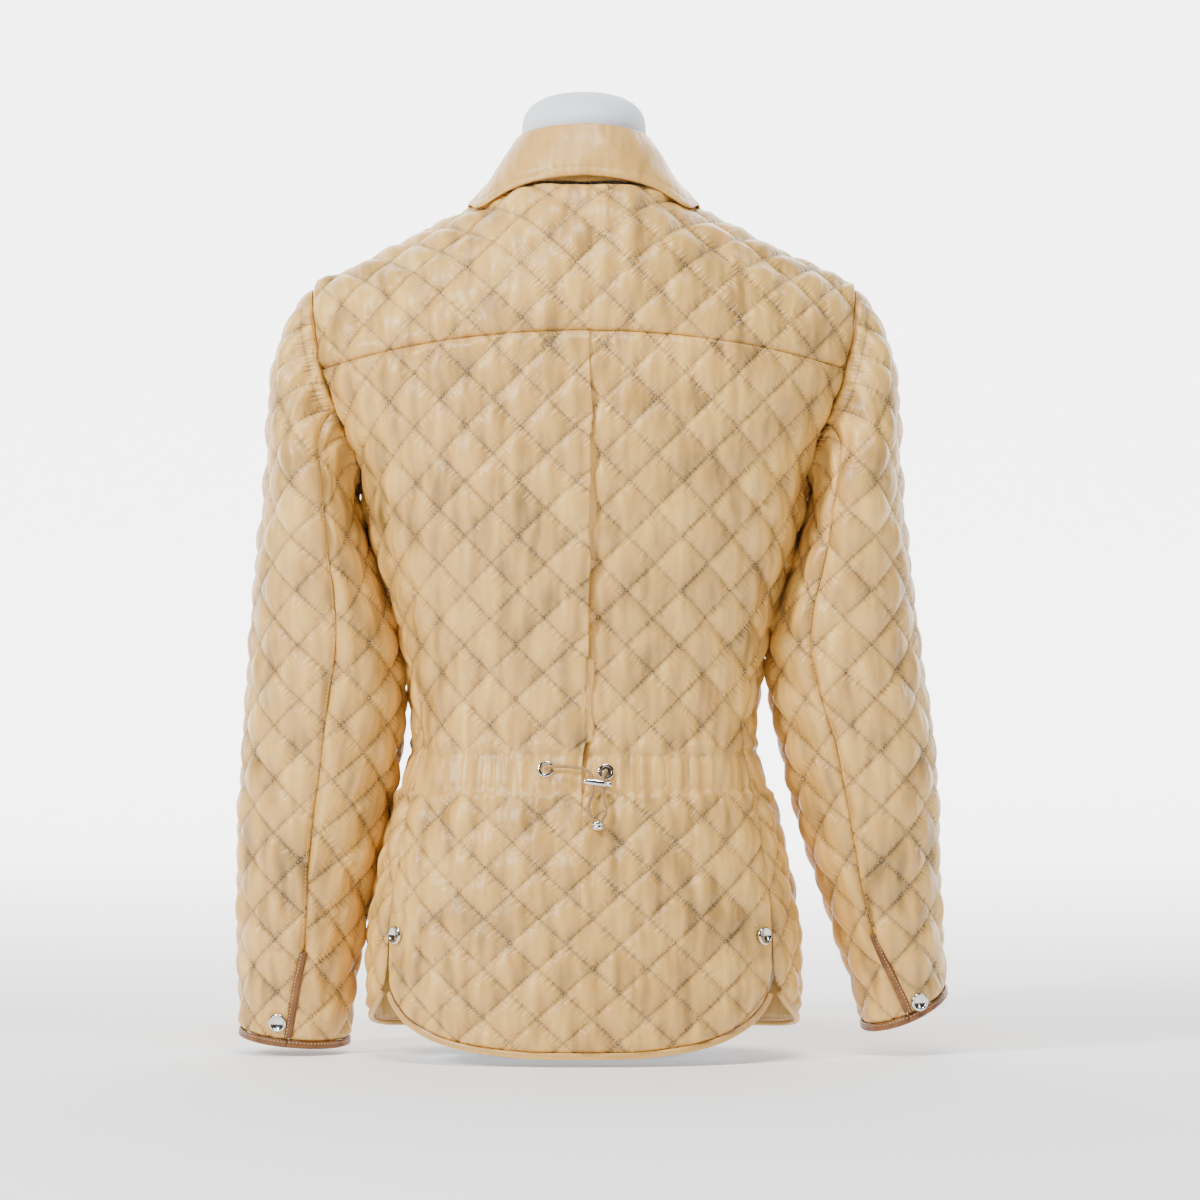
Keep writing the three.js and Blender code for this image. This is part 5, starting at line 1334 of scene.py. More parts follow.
# Sleeves
SLEEVE_CREASES = {
    "left": [
        (60, 250, 20, 214, 8, 1.8), (78, 286, 26, 244, 9, 1.7), (96, 236, 40, 188, 8, -1.5),
        (110, 300, 60, 262, 8, 1.4), (112, 330, 56, 352, 8, -1.4), (124, 372, 70, 398, 9, 1.6),
        (116, 408, 74, 452, 9, 1.5), (100, 164, 50, 140, 8, 1.3), (30, 128, 70, 112, 7, -1.2),
        (20, 330, 40, 400, 10, 1.2), (-20, 220, -60, 190, 8, 1.5), (-26, 280, -84, 250, 8, -1.4),
        (-30, 340, -80, 380, 9, 1.3), (50, 470, 26, 540, 8, 1.2), (-30, 480, -14, 545, 8, 1.1),
        (84, 90, 40, 60, 7, 1.0), (-10, 100, -50, 80, 7, 1.1),
    ],
    "right": [
        (56, 256, 16, 222, 8, 1.7), (84, 292, 34, 250, 9, 1.8), (104, 232, 50, 196, 8, -1.4),
        (120, 306, 70, 270, 8, 1.5), (118, 344, 62, 366, 8, -1.3), (130, 382, 76, 410, 9, 1.6),
        (110, 420, 66, 466, 9, 1.4), (106, 170, 56, 142, 8, 1.4), (44, 120, 86, 104, 7, -1.1),
        (24, 340, 46, 410, 10, 1.1), (-18, 230, -58, 198, 8, 1.4), (-28, 290, -80, 262, 8, -1.3),
        (-28, 350, -76, 386, 9, 1.3), (46, 476, 22, 540, 8, 1.1), (-28, 470, -12, 540, 8, 1.2),
        (96, 96, 52, 70, 7, 1.1), (-12, 110, -50, 86, 7, 1.0),
    ],
}
UNDER_CREASES = [
    (10, 250, 52, 214, 8, 1.8), (-4, 288, 46, 254, 8, -1.5), (-20, 320, 38, 338, 9, 1.6),
    (-36, 230, 4, 196, 8, 1.5), (-30, 372, 30, 392, 9, 1.5), (0, 160, 40, 132, 8, 1.3),
    (-40, 140, -8, 118, 7, -1.2), (-16, 90, 26, 70, 7, 1.1), (-40, 410, -10, 450, 8, 1.3),
]


def cuff_level(end, deg):
    """The level of the cuff's slanted end at an angle round the sleeve."""
    return end["level"] + end["out"] * np.cos(np.radians(deg)) + end["back"] * np.sin(np.radians(deg))


def cuff_path(cloth, under, parts=60):
    side = cloth.side
    hind = float(side["hind"](side["end"]["level"]))
    start, stop = (hind, 360 - FRONT_SEAM) if under else (-FRONT_SEAM, hind)
    deg = np.linspace(start, stop, parts + 1)
    z = cuff_level(side["end"], deg)
    s = cloth.length_at(z, deg % 360) - np.where(deg < 0, cloth.round_at(z), 0)
    return np.stack([s - cloth.round_at(z) / 2 if under else s, z], -1)


def sleeve_outline(cloth, under):
    def hind_u(z):
        return cloth.hind_at(z) - (cloth.round_at(z) / 2 if under else 0)

    def front_u(z):
        return cloth.front_at(z) - cloth.round_at(z) * (0.5 if under else 1)

    cuff = cuff_path(cloth, under)
    ends = (cuff[0][1], cuff[-1][1])
    low, low_front = ends if under else ends[::-1]

    def edge(at, start):
        z = np.linspace(start + 3, SLEEVE_TOP, 110)
        return np.stack([at(z), z], -1)

    def climb(u):
        v = np.linspace(SLEEVE_TOP, float(cloth.top_of(u)), 24)[1:-1]
        return np.stack([np.full_like(v, u), v], -1)

    first = edge(front_u, low_front) if under else edge(hind_u, low)
    second = edge(hind_u, low) if under else edge(front_u, low_front)
    u = np.linspace(first[-1][0], second[-1][0], 80)
    head = np.stack([u, cloth.top_of(u)], -1)
    return tidy_outline(np.concatenate([
        cuff, first, climb(first[-1][0]), head, climb(second[-1][0])[::-1], second[::-1],
    ]))


def cuff_snap_place(cloth):
    side = cloth.side
    z = side["snap"]["z"]
    across = (side["snap"]["x"] - side["rings"]["x"](z)) / side["rings"]["half"](z)
    return float(cloth.length_at(np.array(float(z)), math.degrees(math.acos(across)))), z


TAB = {"wide": 37, "plain": 3}


def tab_rows(cloth):
    """The stitched rectangle of a cuff tab: down its far side, and across its top to the leather."""
    z = np.linspace(cuff_level(cloth.side["end"], 90) + 3, cloth.side["tab_top"], 40)
    across = np.linspace(0, TAB["wide"] - 5, 14)
    top = float(cloth.hind_at(np.array(float(cloth.side["tab_top"]))))
    return (
        np.stack([cloth.hind_at(z) - TAB["wide"], z], -1),
        np.stack([top - TAB["wide"] + across, np.full_like(across, cloth.side["tab_top"])], -1),
    )


def build_sleeve(name, side, under):
    cloth = SleeveCloth(side, under)
    outline = sleeve_outline(cloth, under)
    points = lattice_points(outline, body_cloth_of)
    snaps = [] if under else [cuff_snap_place(cloth)]
    creases = UNDER_CREASES if under else SLEEVE_CREASES[name]
    rows = [] if under else tab_rows(cloth)

    def extra(u, v):
        flat = np.stack([np.ravel(u), np.ravel(v)], -1)
        dips = np.zeros(len(flat))
        for row in rows:
            dips += np.exp(-((edge_distance(row, flat, False) / 1.6) ** 2))
        fill = 0
        if under:
            held = smooth(200, 270, v) * (1 - smooth(400, 430, v))
            fill = FILL["sleeve"] * np.exp(-((u / 45) ** 2)) * held
        return creased(creases, u, v) * smooth(0, 60, v) - 0.9 * np.reshape(dips, np.shape(u)) + fill

    height = quilted_height(sleeve_lattice, lambda u, v: calm(snaps, u, v, 15), extra)
    full = f"{'under' if under else 'upper'}_sleeve_{name}"
    panel(
        f"{full}_cloth", cloth, outline, points, height, lambda u, v: np.zeros_like(u),
        sleeve_lattice, [full],
    )
    sewn = [quilt_stitches(outline, body_cloth_of)]
    sewn += [path_stitches(row) for row in rows]
    if not under:
        z = np.linspace(side["tab_top"] + 4, SLEEVE_TOP, 120)
        sewn.append(path_stitches(np.stack([cloth.hind_at(z) - ROWS["hind"], z], -1)))
    middles, turns = all_stitches(*sewn)
    stitch_mesh(f"{full}_stitches", cloth, middles, turns, bare(height), MATERIALS["thread"], "shell_cloth")
    return cloth


sleeve_cloths = {
    (name, under): build_sleeve(name, side, under)
    for name, side in SLEEVES.items()
    for under in (False, True)
}


# Bindings: a folded strip round an edge, with a row of stitches along its inner side
def swept(name, rings, material, slot, nodes=(), looped=False):
    """A closed body through rings of points; where it is looped, the last ring joins the first."""
    rings = np.asarray(rings)
    count, sides = rings.shape[:2]
    points = rings.reshape(-1, 3)
    faces = []
    for i in range(count if looped else count - 1):
        below, above = i * sides, (i + 1) % count * sides
        for k in range(sides):
            ahead = (k + 1) % sides
            faces.append((below + k, below + ahead, above + ahead, above + k))
    if not looped:
        last = (count - 1) * sides
        faces.append(tuple(range(sides))[::-1])
        faces.append(tuple(last + k for k in range(sides)))
    length = np.concatenate([[0], np.cumsum(np.linalg.norm(np.diff(rings[:, 0], axis=0), axis=1))])
    across = np.linspace(0, 14, sides)
    uv = np.stack(np.meshgrid(across, length), -1).reshape(-1, 2) / UV_UNIT
    piece = add_piece(name, points, faces, material, uv={"cloth": uv, "quilt": uv * 0})
    turned_out(piece)
    return finish_piece(piece, slot, *nodes)


def turned_out(piece):
    """Turns a closed mesh's faces outwards."""
    work = bmesh.new()
    work.from_mesh(piece.data)
    bmesh.ops.recalc_face_normals(work, faces=work.faces)
    work.to_mesh(piece.data)
    work.free()


BINDING = {"round": 1.4, "over": 1.1, "step": 2.6, "row": 1.25, "row_lift": 1.35}


def binding_section(wide):
    """How far beyond the cloth's edge and how high, from the inside round to the outside."""
    turn = np.linspace(-math.pi / 2, math.pi / 2, 9)
    middle = WALL / 2 + 0.25
    edge = wide - BINDING["round"]
    tall = middle + BINDING["over"]
    bulge = [(edge + BINDING["round"] * math.cos(t), middle + tall * math.sin(t)) for t in turn]
    return [(0.45, -0.5), *bulge, (0.45, WALL + 0.9), (-0.55, WALL + 0.55), (0.2, WALL)]


def build_binding(name, cloth, path, wide, shift, material, slot, nodes, ripple=0.0):
    path = np.asarray(path, float)
    length = run_along(path)
    at = np.linspace(0, length[-1], max(8, int(length[-1] / BINDING["step"])))
    path = np.stack([np.interp(at, length, path[:, k]) for k in (0, 1)], -1)
    ahead = heading(path)
    out = np.stack([ahead[:, 1], -ahead[:, 0]], -1)
    rings = []
    waves = 1 + ripple * np.sin(at * 1.15 + 1.3 * np.sin(at * 0.21))
    for away, up in binding_section(wide):
        spot = path + out * away
        lift = np.where(up > WALL, up * waves, up) + shift(*path.T)
        rings.append(off_cloth(cloth, spot[:, 0], spot[:, 1], lift))
    swept(name, np.stack(rings, 1), material, slot, nodes)
    sewn = path + out * BINDING["row"]
    middles, turns = path_stitches(sewn, FINE_STITCH)
    stitch_mesh(
        f"{name}_stitches", cloth, middles, turns,
        lambda u, v: WALL + BINDING["row_lift"] + shift(u, v), MATERIALS["thread"], "shell_cloth",
    )


def no_lift(u, v):
    return np.zeros_like(u)


def hem_lines(front, sign):
    s, z = line_hem(front, sign)
    count = round(len(s) * 0.93)
    return s[:count], z[:count]


HEM_WIDE = 4.6
HEM_RIPPLE = 0.07
LEATHER_WIDE = 5.6


def build_bindings():
    left, right = (to_cloth(BACK, hem_lines(False, sign), sign) for sign in (-1, 1))
    build_binding(
        "hem_binding_back_strip", BACK, np.concatenate([left[::-1], right[1:]]), HEM_WIDE, no_lift,
        MATERIALS["plain"], "shell_cloth", ["hem_binding_back"], HEM_RIPPLE,
    )
    for name, sign in (("right", 1), ("left", -1)):
        cloth = FRONTS[sign]
        rows = to_cloth(cloth, hem_lines(True, sign), sign)
        start = -OVERLAP["reach"] + 4
        rows = rows[rows[:, 0] > start + 4]
        path = np.concatenate([[[start, rows[0][1]]], rows])
        build_binding(
            f"hem_binding_{name}_strip", cloth, path, HEM_WIDE, lambda u, v, sign=sign: lap(sign, u),
            MATERIALS["plain"], "shell_cloth", [f"hem_binding_{name}"], HEM_RIPPLE,
        )
    for (name, under), cloth in sleeve_cloths.items():
        full = f"cuff_binding_{'under' if under else 'upper'}_{name}"
        build_binding(
            f"{full}_strip", cloth, cuff_path(cloth, under), LEATHER_WIDE, no_lift,
            MATERIALS["leather"], "leather_trim", [full],
        )


STRIP = {"half": 2.9, "low": 1.9, "high": 4.1}


def build_tab_edge(name, cloth):
    """The leather edge of a cuff's tab, from the binding up to the tab's top."""
    z = np.linspace(cuff_level(cloth.side["end"], 90) + 2.5, cloth.side["tab_top"], 40)
    u = cloth.hind_at(z)
    turn = np.linspace(math.pi, 0, 9)
    rise = STRIP["high"] - STRIP["low"]
    section = [(math.cos(t), STRIP["low"] + rise * math.sin(t) ** 0.6) for t in turn]
    section += [(0.8, 1.0), (-0.8, 1.0)]
    rings = [off_cloth(cloth, u + across * STRIP["half"], z, np.full_like(z, up)) for across, up in section]
    swept(
        f"cuff_tab_edge_{name}_strip", np.stack(rings, 1), MATERIALS["leather"], "leather_trim",
        [f"cuff_tab_edge_{name}"],
    )
    sewn = np.stack([u - 1.5, z], -1)
    middles, turns = path_stitches(sewn, FINE_STITCH)
    stitch_mesh(
        f"cuff_tab_edge_{name}_stitches", cloth, middles, turns,
        lambda a, b: np.full_like(a, STRIP["high"] - 0.25), MATERIALS["thread"], "leather_trim",
    )


# Collar: t runs from the centre back (0) to each front end (1)
COLLAR = {
    "thick": 1.7, "columns": 15, "rows": 3, "lie": 5.4, "bulge": 7, "stitch": 7.5,
    "stand_gap": 1.1, "stand_drop": 3.5, "foot_in": 4.4, "foot_up": 3,
}
COLLAR_FOLD = {"half": 52, "back": 54, "front": 60, "y": 8, "reach": 163}
COLLAR_FOLD_HEIGHT = table("t z", (0, 694), (0.3, 690), (0.55, 678), (0.8, 652), (1, 624))["z"]
COLLAR_EDGE = table(
    "t x z front", (0, 0, 650, 0), (0.18, 24, 648, 0), (0.36, 48, 642, 0), (0.5, 67, 632, 0),
    (0.58, 76, 627, 0), (0.66, 82, 632, 0), (0.74, 84, 616, 1), (0.86, 80, 588, 1), (1, 70, 556, 1),
)
NECK_SEAM = table(
    "t x z front", (0, 0, 647, 0), (0.25, 36, 647.5, 0), (0.42, 60, 643.5, 0), (0.56, 74, 636, 0),
    (0.66, 73, 622, 1), (0.77, 62, 606, 1), (0.88, 40, 592, 1), (0.985, 3, 586, 1),
)


def s_each(x, z, front):
    return np.where(front, s_of_x(x, z, True), s_of_x(x, z, False))


def neck_spot(rows, t, lift):
    """Places along the neck or the collar's edge, lifted off the body."""
    share, sign = np.abs(t), np.where(t < 0, -1.0, 1.0)
    x = np.maximum(rows["x"](share), 0)
    z = np.minimum(rows["z"](share), SHOULDER(x) - 0.4)
    s = sign * s_each(x, z, rows["front"](share) > 0.5)
    across = body_at(s + 2, z) - body_at(s - 2, z)
    up = body_at(s, z) - body_at(s, z - 2)
    n = np.cross(across, up)
    return body_at(s, z) + n / np.linalg.norm(n, axis=1)[:, None] * lift


def fold_spot(t, grow, drop=0):
    """Places along the collar's fold round the neck."""
    angle = np.radians(COLLAR_FOLD["reach"]) * t
    deep = np.where(np.cos(angle) > 0, COLLAR_FOLD["back"], COLLAR_FOLD["front"])
    return np.stack([
        (COLLAR_FOLD["half"] + grow) * np.sin(angle),
        COLLAR_FOLD["y"] - (deep + grow) * np.cos(angle),
        COLLAR_FOLD_HEIGHT(np.abs(t)) - drop,
    ], -1)


def clear_of_body(p, lift):
    """The points, kept at least the lift away from the body."""
    x = np.abs(p[:, 0])
    under = p[:, 2] <= SHOULDER(x) - 1
    front = p[:, 1] > MID_Y
    y = body_at(s_each(x, p[:, 2], front), p[:, 2])[:, 1]
    clear = np.where(front, np.maximum(p[:, 1], y + lift * 1.3), np.minimum(p[:, 1], y - lift * 1.3))
    out = p.copy()
    out[:, 1] = np.where(under, clear, p[:, 1])
    return out


def fall_grid(grow):
    """Rows of points from the collar's fold to its edge."""
    t = np.linspace(-1, 1, 2 * COLLAR["columns"] + 1)
    start = fold_spot(t, grow)
    end = neck_spot(COLLAR_EDGE, t, COLLAR["lie"] + grow)
    outward = start - [0, COLLAR_FOLD["y"], 0]
    outward[:, 2] = 0
    outward /= np.linalg.norm(outward, axis=1)[:, None]
    middle = start + (end - start) * 0.4 + outward * COLLAR["bulge"]
    rows = []
    for i in np.linspace(0, 1, COLLAR["rows"] + 1):
        p = start * (1 - i) ** 2 + middle * 2 * i * (1 - i) + end * i * i
        rows.append(p if i in (0, 1) else clear_of_body(p, COLLAR["lie"] + grow))
    return np.array(rows)


def stand_grid(grow):
    """Rows of points from the neck seam up to the collar's fold."""
    t = np.linspace(-1, 1, 2 * COLLAR["columns"] + 1)
    top = fold_spot(t, grow - COLLAR["stand_gap"], COLLAR["stand_drop"])
    foot = neck_spot(NECK_SEAM, t, 0)
    inward = np.stack([-foot[:, 0], COLLAR_FOLD["y"] - foot[:, 1], np.zeros(len(t))], -1)
    inward /= np.linalg.norm(inward, axis=1)[:, None]
    foot = foot + inward * (COLLAR["foot_in"] - grow)
    foot[:, 2] += COLLAR["foot_up"]
    return np.array([foot + (top - foot) * i for i in (0, 0.5, 1)])


def refined(grid, rows, columns):
    """A grid of points made finer along smooth curves."""
    at = np.linspace(0, 1, grid.shape[1])
    fine = np.linspace(0, 1, columns)
    wide = np.stack([
        np.stack([curve(at, grid[i, :, k])(fine) for k in range(3)], -1) for i in range(grid.shape[0])
    ])
    at = np.linspace(0, 1, grid.shape[0])
    fine = np.linspace(0, 1, rows)
    return np.stack([
        np.stack([curve(at, wide[:, j, k])(fine) for k in range(3)], -1) for j in range(columns)
    ], 1)


class GridCloth:
    """Cloth coordinates on a grid of points: u along its columns, v along its rows, about in millimetres."""

    def __init__(self, grid, flip=False):
        self.grid, self.flip = grid, flip
        self.du = float(np.linalg.norm(np.diff(grid, axis=1), axis=2).mean())
        self.dv = float(np.linalg.norm(np.diff(grid, axis=0), axis=2).mean())
        self.wide, self.long = self.du * (grid.shape[1] - 1), self.dv * (grid.shape[0] - 1)

    def point(self, u, v):
        u, v = np.broadcast_arrays(np.asarray(u, float), np.asarray(v, float))
        return bilinear(self.grid, v / self.dv, u / self.du)


def sheet_of_grids(name, outer, inner, material, nodes):
    """A closed sheet between two matching grids."""
    rows, columns = outer.shape[:2]
    points = np.concatenate([outer.reshape(-1, 3), inner.reshape(-1, 3)])
    index = np.arange(rows * columns).reshape(rows, columns)
    base = rows * columns
    faces = []
    for i in range(rows - 1):
        for j in range(columns - 1):
            a, b, c, d = index[i, j], index[i, j + 1], index[i + 1, j + 1], index[i + 1, j]
            faces += [(a, b, c, d), (d + base, c + base, b + base, a + base)]
    border = [*index[0], *index[1:, -1], *index[-1, -2::-1], *index[-2:0:-1, 0]]
    for a, b in zip(border, border[1:] + border[:1]):
        faces.append((b, a, a + base, b + base))
    cloth = GridCloth(outer)
    u, v = np.meshgrid(np.arange(columns) * cloth.du, np.arange(rows) * cloth.dv)
    uv = np.tile(np.stack([u, v], -1).reshape(-1, 2) / UV_UNIT, (2, 1))
    piece = add_piece(name, points, faces, material, uv={"cloth": uv, "quilt": uv * 0})
    turned_out(piece)
    finish_piece(piece, "shell_cloth", *nodes)
    return cloth


COLLAR_FOLDS = [
    (60, 30, 110, 16, 9, 0.8), (150, 42, 190, 14, 10, -0.8), (240, 20, 262, 46, 9, 0.9),
    (300, 44, 352, 18, 10, -0.7), (392, 16, 440, 40, 9, 0.8),
]
FALL_RIPPLE = Noise(24, 17)
FALL_DETAIL = {"ripple": 0.5, "dip": 0.55, "dip_half": 1.3, "pucker": 0.16, "roll": 0.7, "roll_half": 0.9}
FALL_MESH = (40, 260)       # rows and columns
STAND_MESH = (12, 200)


def build_collar():
    outer = refined(fall_grid(COLLAR["thick"]), *FALL_MESH)
    inner = refined(fall_grid(0), *FALL_MESH)
    cloth = GridCloth(outer)
    rows, columns = FALL_MESH
    u, v = np.meshgrid(np.arange(columns) * cloth.du, np.arange(rows) * cloth.dv)
    n = normal_at(cloth, u, v)
    toward = outer - inner
    cloth.flip = bool((n * toward).sum() < 0)
    n = n * (-1 if cloth.flip else 1)
    from_edge = np.minimum(cloth.long - v, np.minimum(u, cloth.wide - u))
    from_row = from_edge - COLLAR["stitch"]
    dip = np.exp(-((from_row / FALL_DETAIL["dip_half"]) ** 2))
    puckers = np.sin(u / 1.9 + 2.2 * np.sin(u / 17)) * np.exp(-((from_row / 5) ** 2))
    edge_roll = -FALL_DETAIL["roll"] * np.exp(-from_edge / FALL_DETAIL["roll_half"])
    folds = creased(COLLAR_FOLDS, u, v) * smooth(0, 14, from_edge)
    detail = FALL_DETAIL["ripple"] * FALL_RIPPLE(u, v) + folds
    detail = detail - FALL_DETAIL["dip"] * dip + FALL_DETAIL["pucker"] * puckers + edge_roll
    outer = outer + n * detail[..., None]
    cloth = sheet_of_grids("collar_fall_cloth", outer, inner, MATERIALS["plain"], ["collar_fall"])
    cloth.flip = bool((normal_at(cloth, u, v) * toward).sum() < 0)
    inset = COLLAR["stitch"]
    path = np.array([
        (inset, inset * 0.6), (inset, cloth.long - inset), (cloth.wide - inset, cloth.long - inset),
        (cloth.wide - inset, inset * 0.6),
    ])
    length = run_along(path)
    at = np.arange(0, length[-1], 1.0)
    middles, turns = path_stitches(np.stack([np.interp(at, length, path[:, k]) for k in (0, 1)], -1))
    stitch_mesh(
        "collar_fall_stitches", cloth, middles, turns, lambda a, b: np.full_like(a, 0.02),
        MATERIALS["thread"], "shell_cloth",
    )
    sheet_of_grids(
        "collar_stand_cloth", refined(stand_grid(0), *STAND_MESH),
        refined(stand_grid(-COLLAR["thick"]), *STAND_MESH), MATERIALS["plain"], ["collar_stand"],
    )


build_bindings()
for side_name in SLEEVES:
    build_tab_edge(side_name, sleeve_cloths[side_name, False])
build_collar()


# Snaps, eyelets, lock and clip, turned from profiles of radius and height
TURNED_SIDES = 56


def turned(name, profile, foot, axis, material, slot, nodes, **more):
    axis = np.asarray(axis, float) / np.linalg.norm(axis)
    side = np.cross(axis, [0.31, 0.2, 0.93])
    side /= np.linalg.norm(side)
    turn = np.linspace(0, 2 * math.pi, TURNED_SIDES, endpoint=False)[:, None]
    circle = np.cos(turn) * side + np.sin(turn) * np.cross(axis, side)
    rings = [np.asarray(foot) + max(r, 0.02) * circle + h * axis for r, h in profile]
    return swept(name, rings, material, slot, nodes, **more)


SNAP = {"radius": 7, "tall": 2.7, "lift": 0.7}
CAP = [
    (0, -0.5), (0.9, -0.5), (0.96, 0.05), (1, 0.25), (1, 0.55), (0.97, 0.78), (0.91, 0.93), (0.84, 1),
    (0.77, 0.98), (0.71, 0.9), (0.67, 0.76), (0.64, 0.66),
]
WELL = [
    (0, 0.1), (0.66, 0.3), (0.65, 0.62), (0.56, 0.56), (0.42, 0.52), (0.3, 0.52), (0.26, 0.56), (0.2, 0.62),
    (0.12, 0.65), (0, 0.66),
]


def build_snap(name, cloth, u, v, lift=0.0):
    """A bright rim round a dished middle in darker nickel, a painted shade."""
    at = (np.array([float(u)]), np.array([float(v)]))
    axis = normal_at(cloth, *at)[0]
    foot = cloth.point(*at)[0] + axis * (WALL + SNAP["lift"] + lift)
    for part, rows, material, nodes in (("rim", CAP, "nickel", [name]), ("well", WELL, "painted_shade_nickel", [])):
        profile = [(r * SNAP["radius"], h * SNAP["tall"]) for r, h in rows]
        turned(f"{name}_{part}", profile, foot, axis, MATERIALS[material], "steel", nodes)


FRONT_SNAPS = {"count": 6, "from": 95, "step": 84}


def build_snaps():
    for (u, v), side in zip(VENT_SNAPS, ("right", "left")):
        build_snap(f"vent_snap_{side}", BACK, u, v)
    for side in SLEEVES:
        cloth = sleeve_cloths[side, False]
        build_snap(f"cuff_snap_{side}", cloth, *cuff_snap_place(cloth))
    for k in range(FRONT_SNAPS["count"]):
        v = FRONT_SNAPS["from"] + k * FRONT_SNAPS["step"]
        build_snap(f"front_snap_{k + 1}", FRONTS[1], 0, v, OVERLAP["lift"] + float(waist_sink(v)))


def build_eyelet(name, u, v):
    at = (np.array([u]), np.array([v]))
    axis = normal_at(BACK, *at)[0]
    foot = BACK.point(*at)[0] + axis * (WALL + GROMMET["lift"] + float(waist_sink(v)))
    middle = (GROMMET["radius"] + GROMMET["bore"]) / 2
    half = (GROMMET["radius"] - GROMMET["bore"]) / 2
    turn = np.linspace(0, 2 * math.pi, 20, endpoint=False)
    profile = [(middle + half * math.cos(t), GROMMET["tall"] * math.sin(t) + GROMMET["rise"]) for t in turn]
    turned(name, profile, foot, axis, MATERIALS["nickel"], "steel", [name], looped=True)
    # A disc of the darker nickel at the hole's bottom: a painted shade in the hole
    deep = -GROMMET["well"]
    well = [(0.02, deep), (middle, deep), (middle, -0.1), (0.02, -0.25)]
    turned(f"{name}_hole", well, foot, axis, MATERIALS["painted_shade_nickel"], "steel", [])


# The drawcord's two free ends: places on the back, and the distance from the cloth
CORD_WIDTH = 2.5
CORD_ROUTES = {
    "left": [
        (-27.8, 216.5, 1.3), (-27, 216.6, 4), (-24, 216.8, 6.4), (-18, 216.9, 7.6), (-11, 216.6, 8.2),
        (-4, 215.8, 8.6), (2, 214, 8.8), (5.4, 210.6, 8.8), (6.6, 206, 8.6), (6.6, 201, 8.2),
        (5.6, 195, 7.8), (3.6, 188.5, 7.6), (4, 182.5, 7.7), (6.6, 177.5, 7.9), (7.6, 172.8, 8),
    ],
    "right": [
        (16.4, 214.5, 1.3), (16.3, 214.7, 4), (15.8, 214, 7), (14.6, 211, 8.6), (13.4, 206, 8.6),
        (13.2, 201, 8.2), (14, 195, 7.8), (15.6, 188.5, 7.6), (15.6, 182.5, 7.7), (13.4, 177.5, 7.9),
        (12.4, 172.8, 8),
    ],
}


def off_back(x, z, off):
    """The place at a distance from the back's cloth that has this x and z."""
    u, v = flat_back(x, z)
    at = (np.array([u]), np.array([v]))
    return BACK.point(*at)[0] + normal_at(BACK, *at)[0] * (WALL + float(waist_sink(v)) + off)


def rounded(points, steps=8):
    """A centripetal curve through the points."""
    ends = [2 * points[0] - points[1], *points, 2 * points[-1] - points[-2]]
    out = []
    for a, b, c, d in zip(ends, ends[1:], ends[2:], ends[3:]):
        gaps = [max(np.linalg.norm(q - p), 1e-4) ** 0.5 for p, q in ((a, b), (b, c), (c, d))]
        leave = ((b - a) / gaps[0] - (c - a) / (gaps[0] + gaps[1]) + (c - b) / gaps[1]) * gaps[1]
        reach = ((c - b) / gaps[1] - (d - b) / (gaps[1] + gaps[2]) + (d - c) / gaps[2]) * gaps[1]
        for t in np.linspace(0, 1, steps, endpoint=False):
            out.append(
                b * (2 * t**3 - 3 * t**2 + 1) + leave * (t**3 - 2 * t**2 + t)
                + c * (3 * t**2 - 2 * t**3) + reach * (t**3 - t**2)
            )
    return np.array([*out, points[-1]])


def build_cord(side):
    path = place(rounded([off_back(*row) for row in CORD_ROUTES[side]]))
    data = bpy.data.curves.new(f"waist_cord_{side}", "CURVE")
    data.dimensions = "3D"
    data.bevel_depth = CORD_WIDTH / 2000
    data.bevel_resolution = 5
    data.use_fill_caps = True
    spline = data.splines.new("POLY")
    spline.points.add(len(path) - 1)
    for point, spot in zip(spline.points, path):
        point.co = (*spot, 1)
    spline.use_smooth = True
    data.materials.append(MATERIALS["cord"])
    piece = bpy.data.objects.new(f"waist_cord_{side}_braid", data)
    bpy.context.collection.objects.link(piece)
    finish_piece(piece, "cord", f"waist_cord_{side}")


LOCK = [
    (0, 0), (0.7, 0.002), (1.5, 0.012), (2.1, 0.04), (2.55, 0.1), (2.8, 0.25), (2.95, 0.5), (2.95, 0.72),
    (2.75, 0.765), (2.15, 0.785), (2.05, 0.82), (2.15, 0.855), (2.5, 0.87), (2.65, 0.9), (2.6, 0.95),
    (2.3, 0.985), (1.6, 0.998), (0, 1),
]
CLIP = [
    (0, 0), (2.2, 0.005), (3.1, 0.04), (3.7, 0.12), (4.25, 0.24), (4.5, 0.36), (4.5, 0.44), (4.15, 0.5),
    (4.15, 0.56), (4.55, 0.62), (4.55, 0.8), (4.3, 0.92), (3.7, 0.985), (2.4, 0.998), (0, 1),
]


def build_fitting(name, rows, start, end):
    start, end = off_back(*start), off_back(*end)
    long = float(np.linalg.norm(end - start))
    profile = [(r, at * long) for r, at in rows]
    return turned(f"{name}_metal", profile, start, end - start, MATERIALS["nickel"], "steel", [name])


# The form's cover: a torso and a neck, each through level loops
FORM_TOP = 609
NECK_FORM = {"half": 46.5, "back": 48, "front": 46, "y": 8, "foot": 530, "dome": 694, "top": 722}
FORM_TURN = np.linspace(0, 2 * math.pi, 120, endpoint=False)


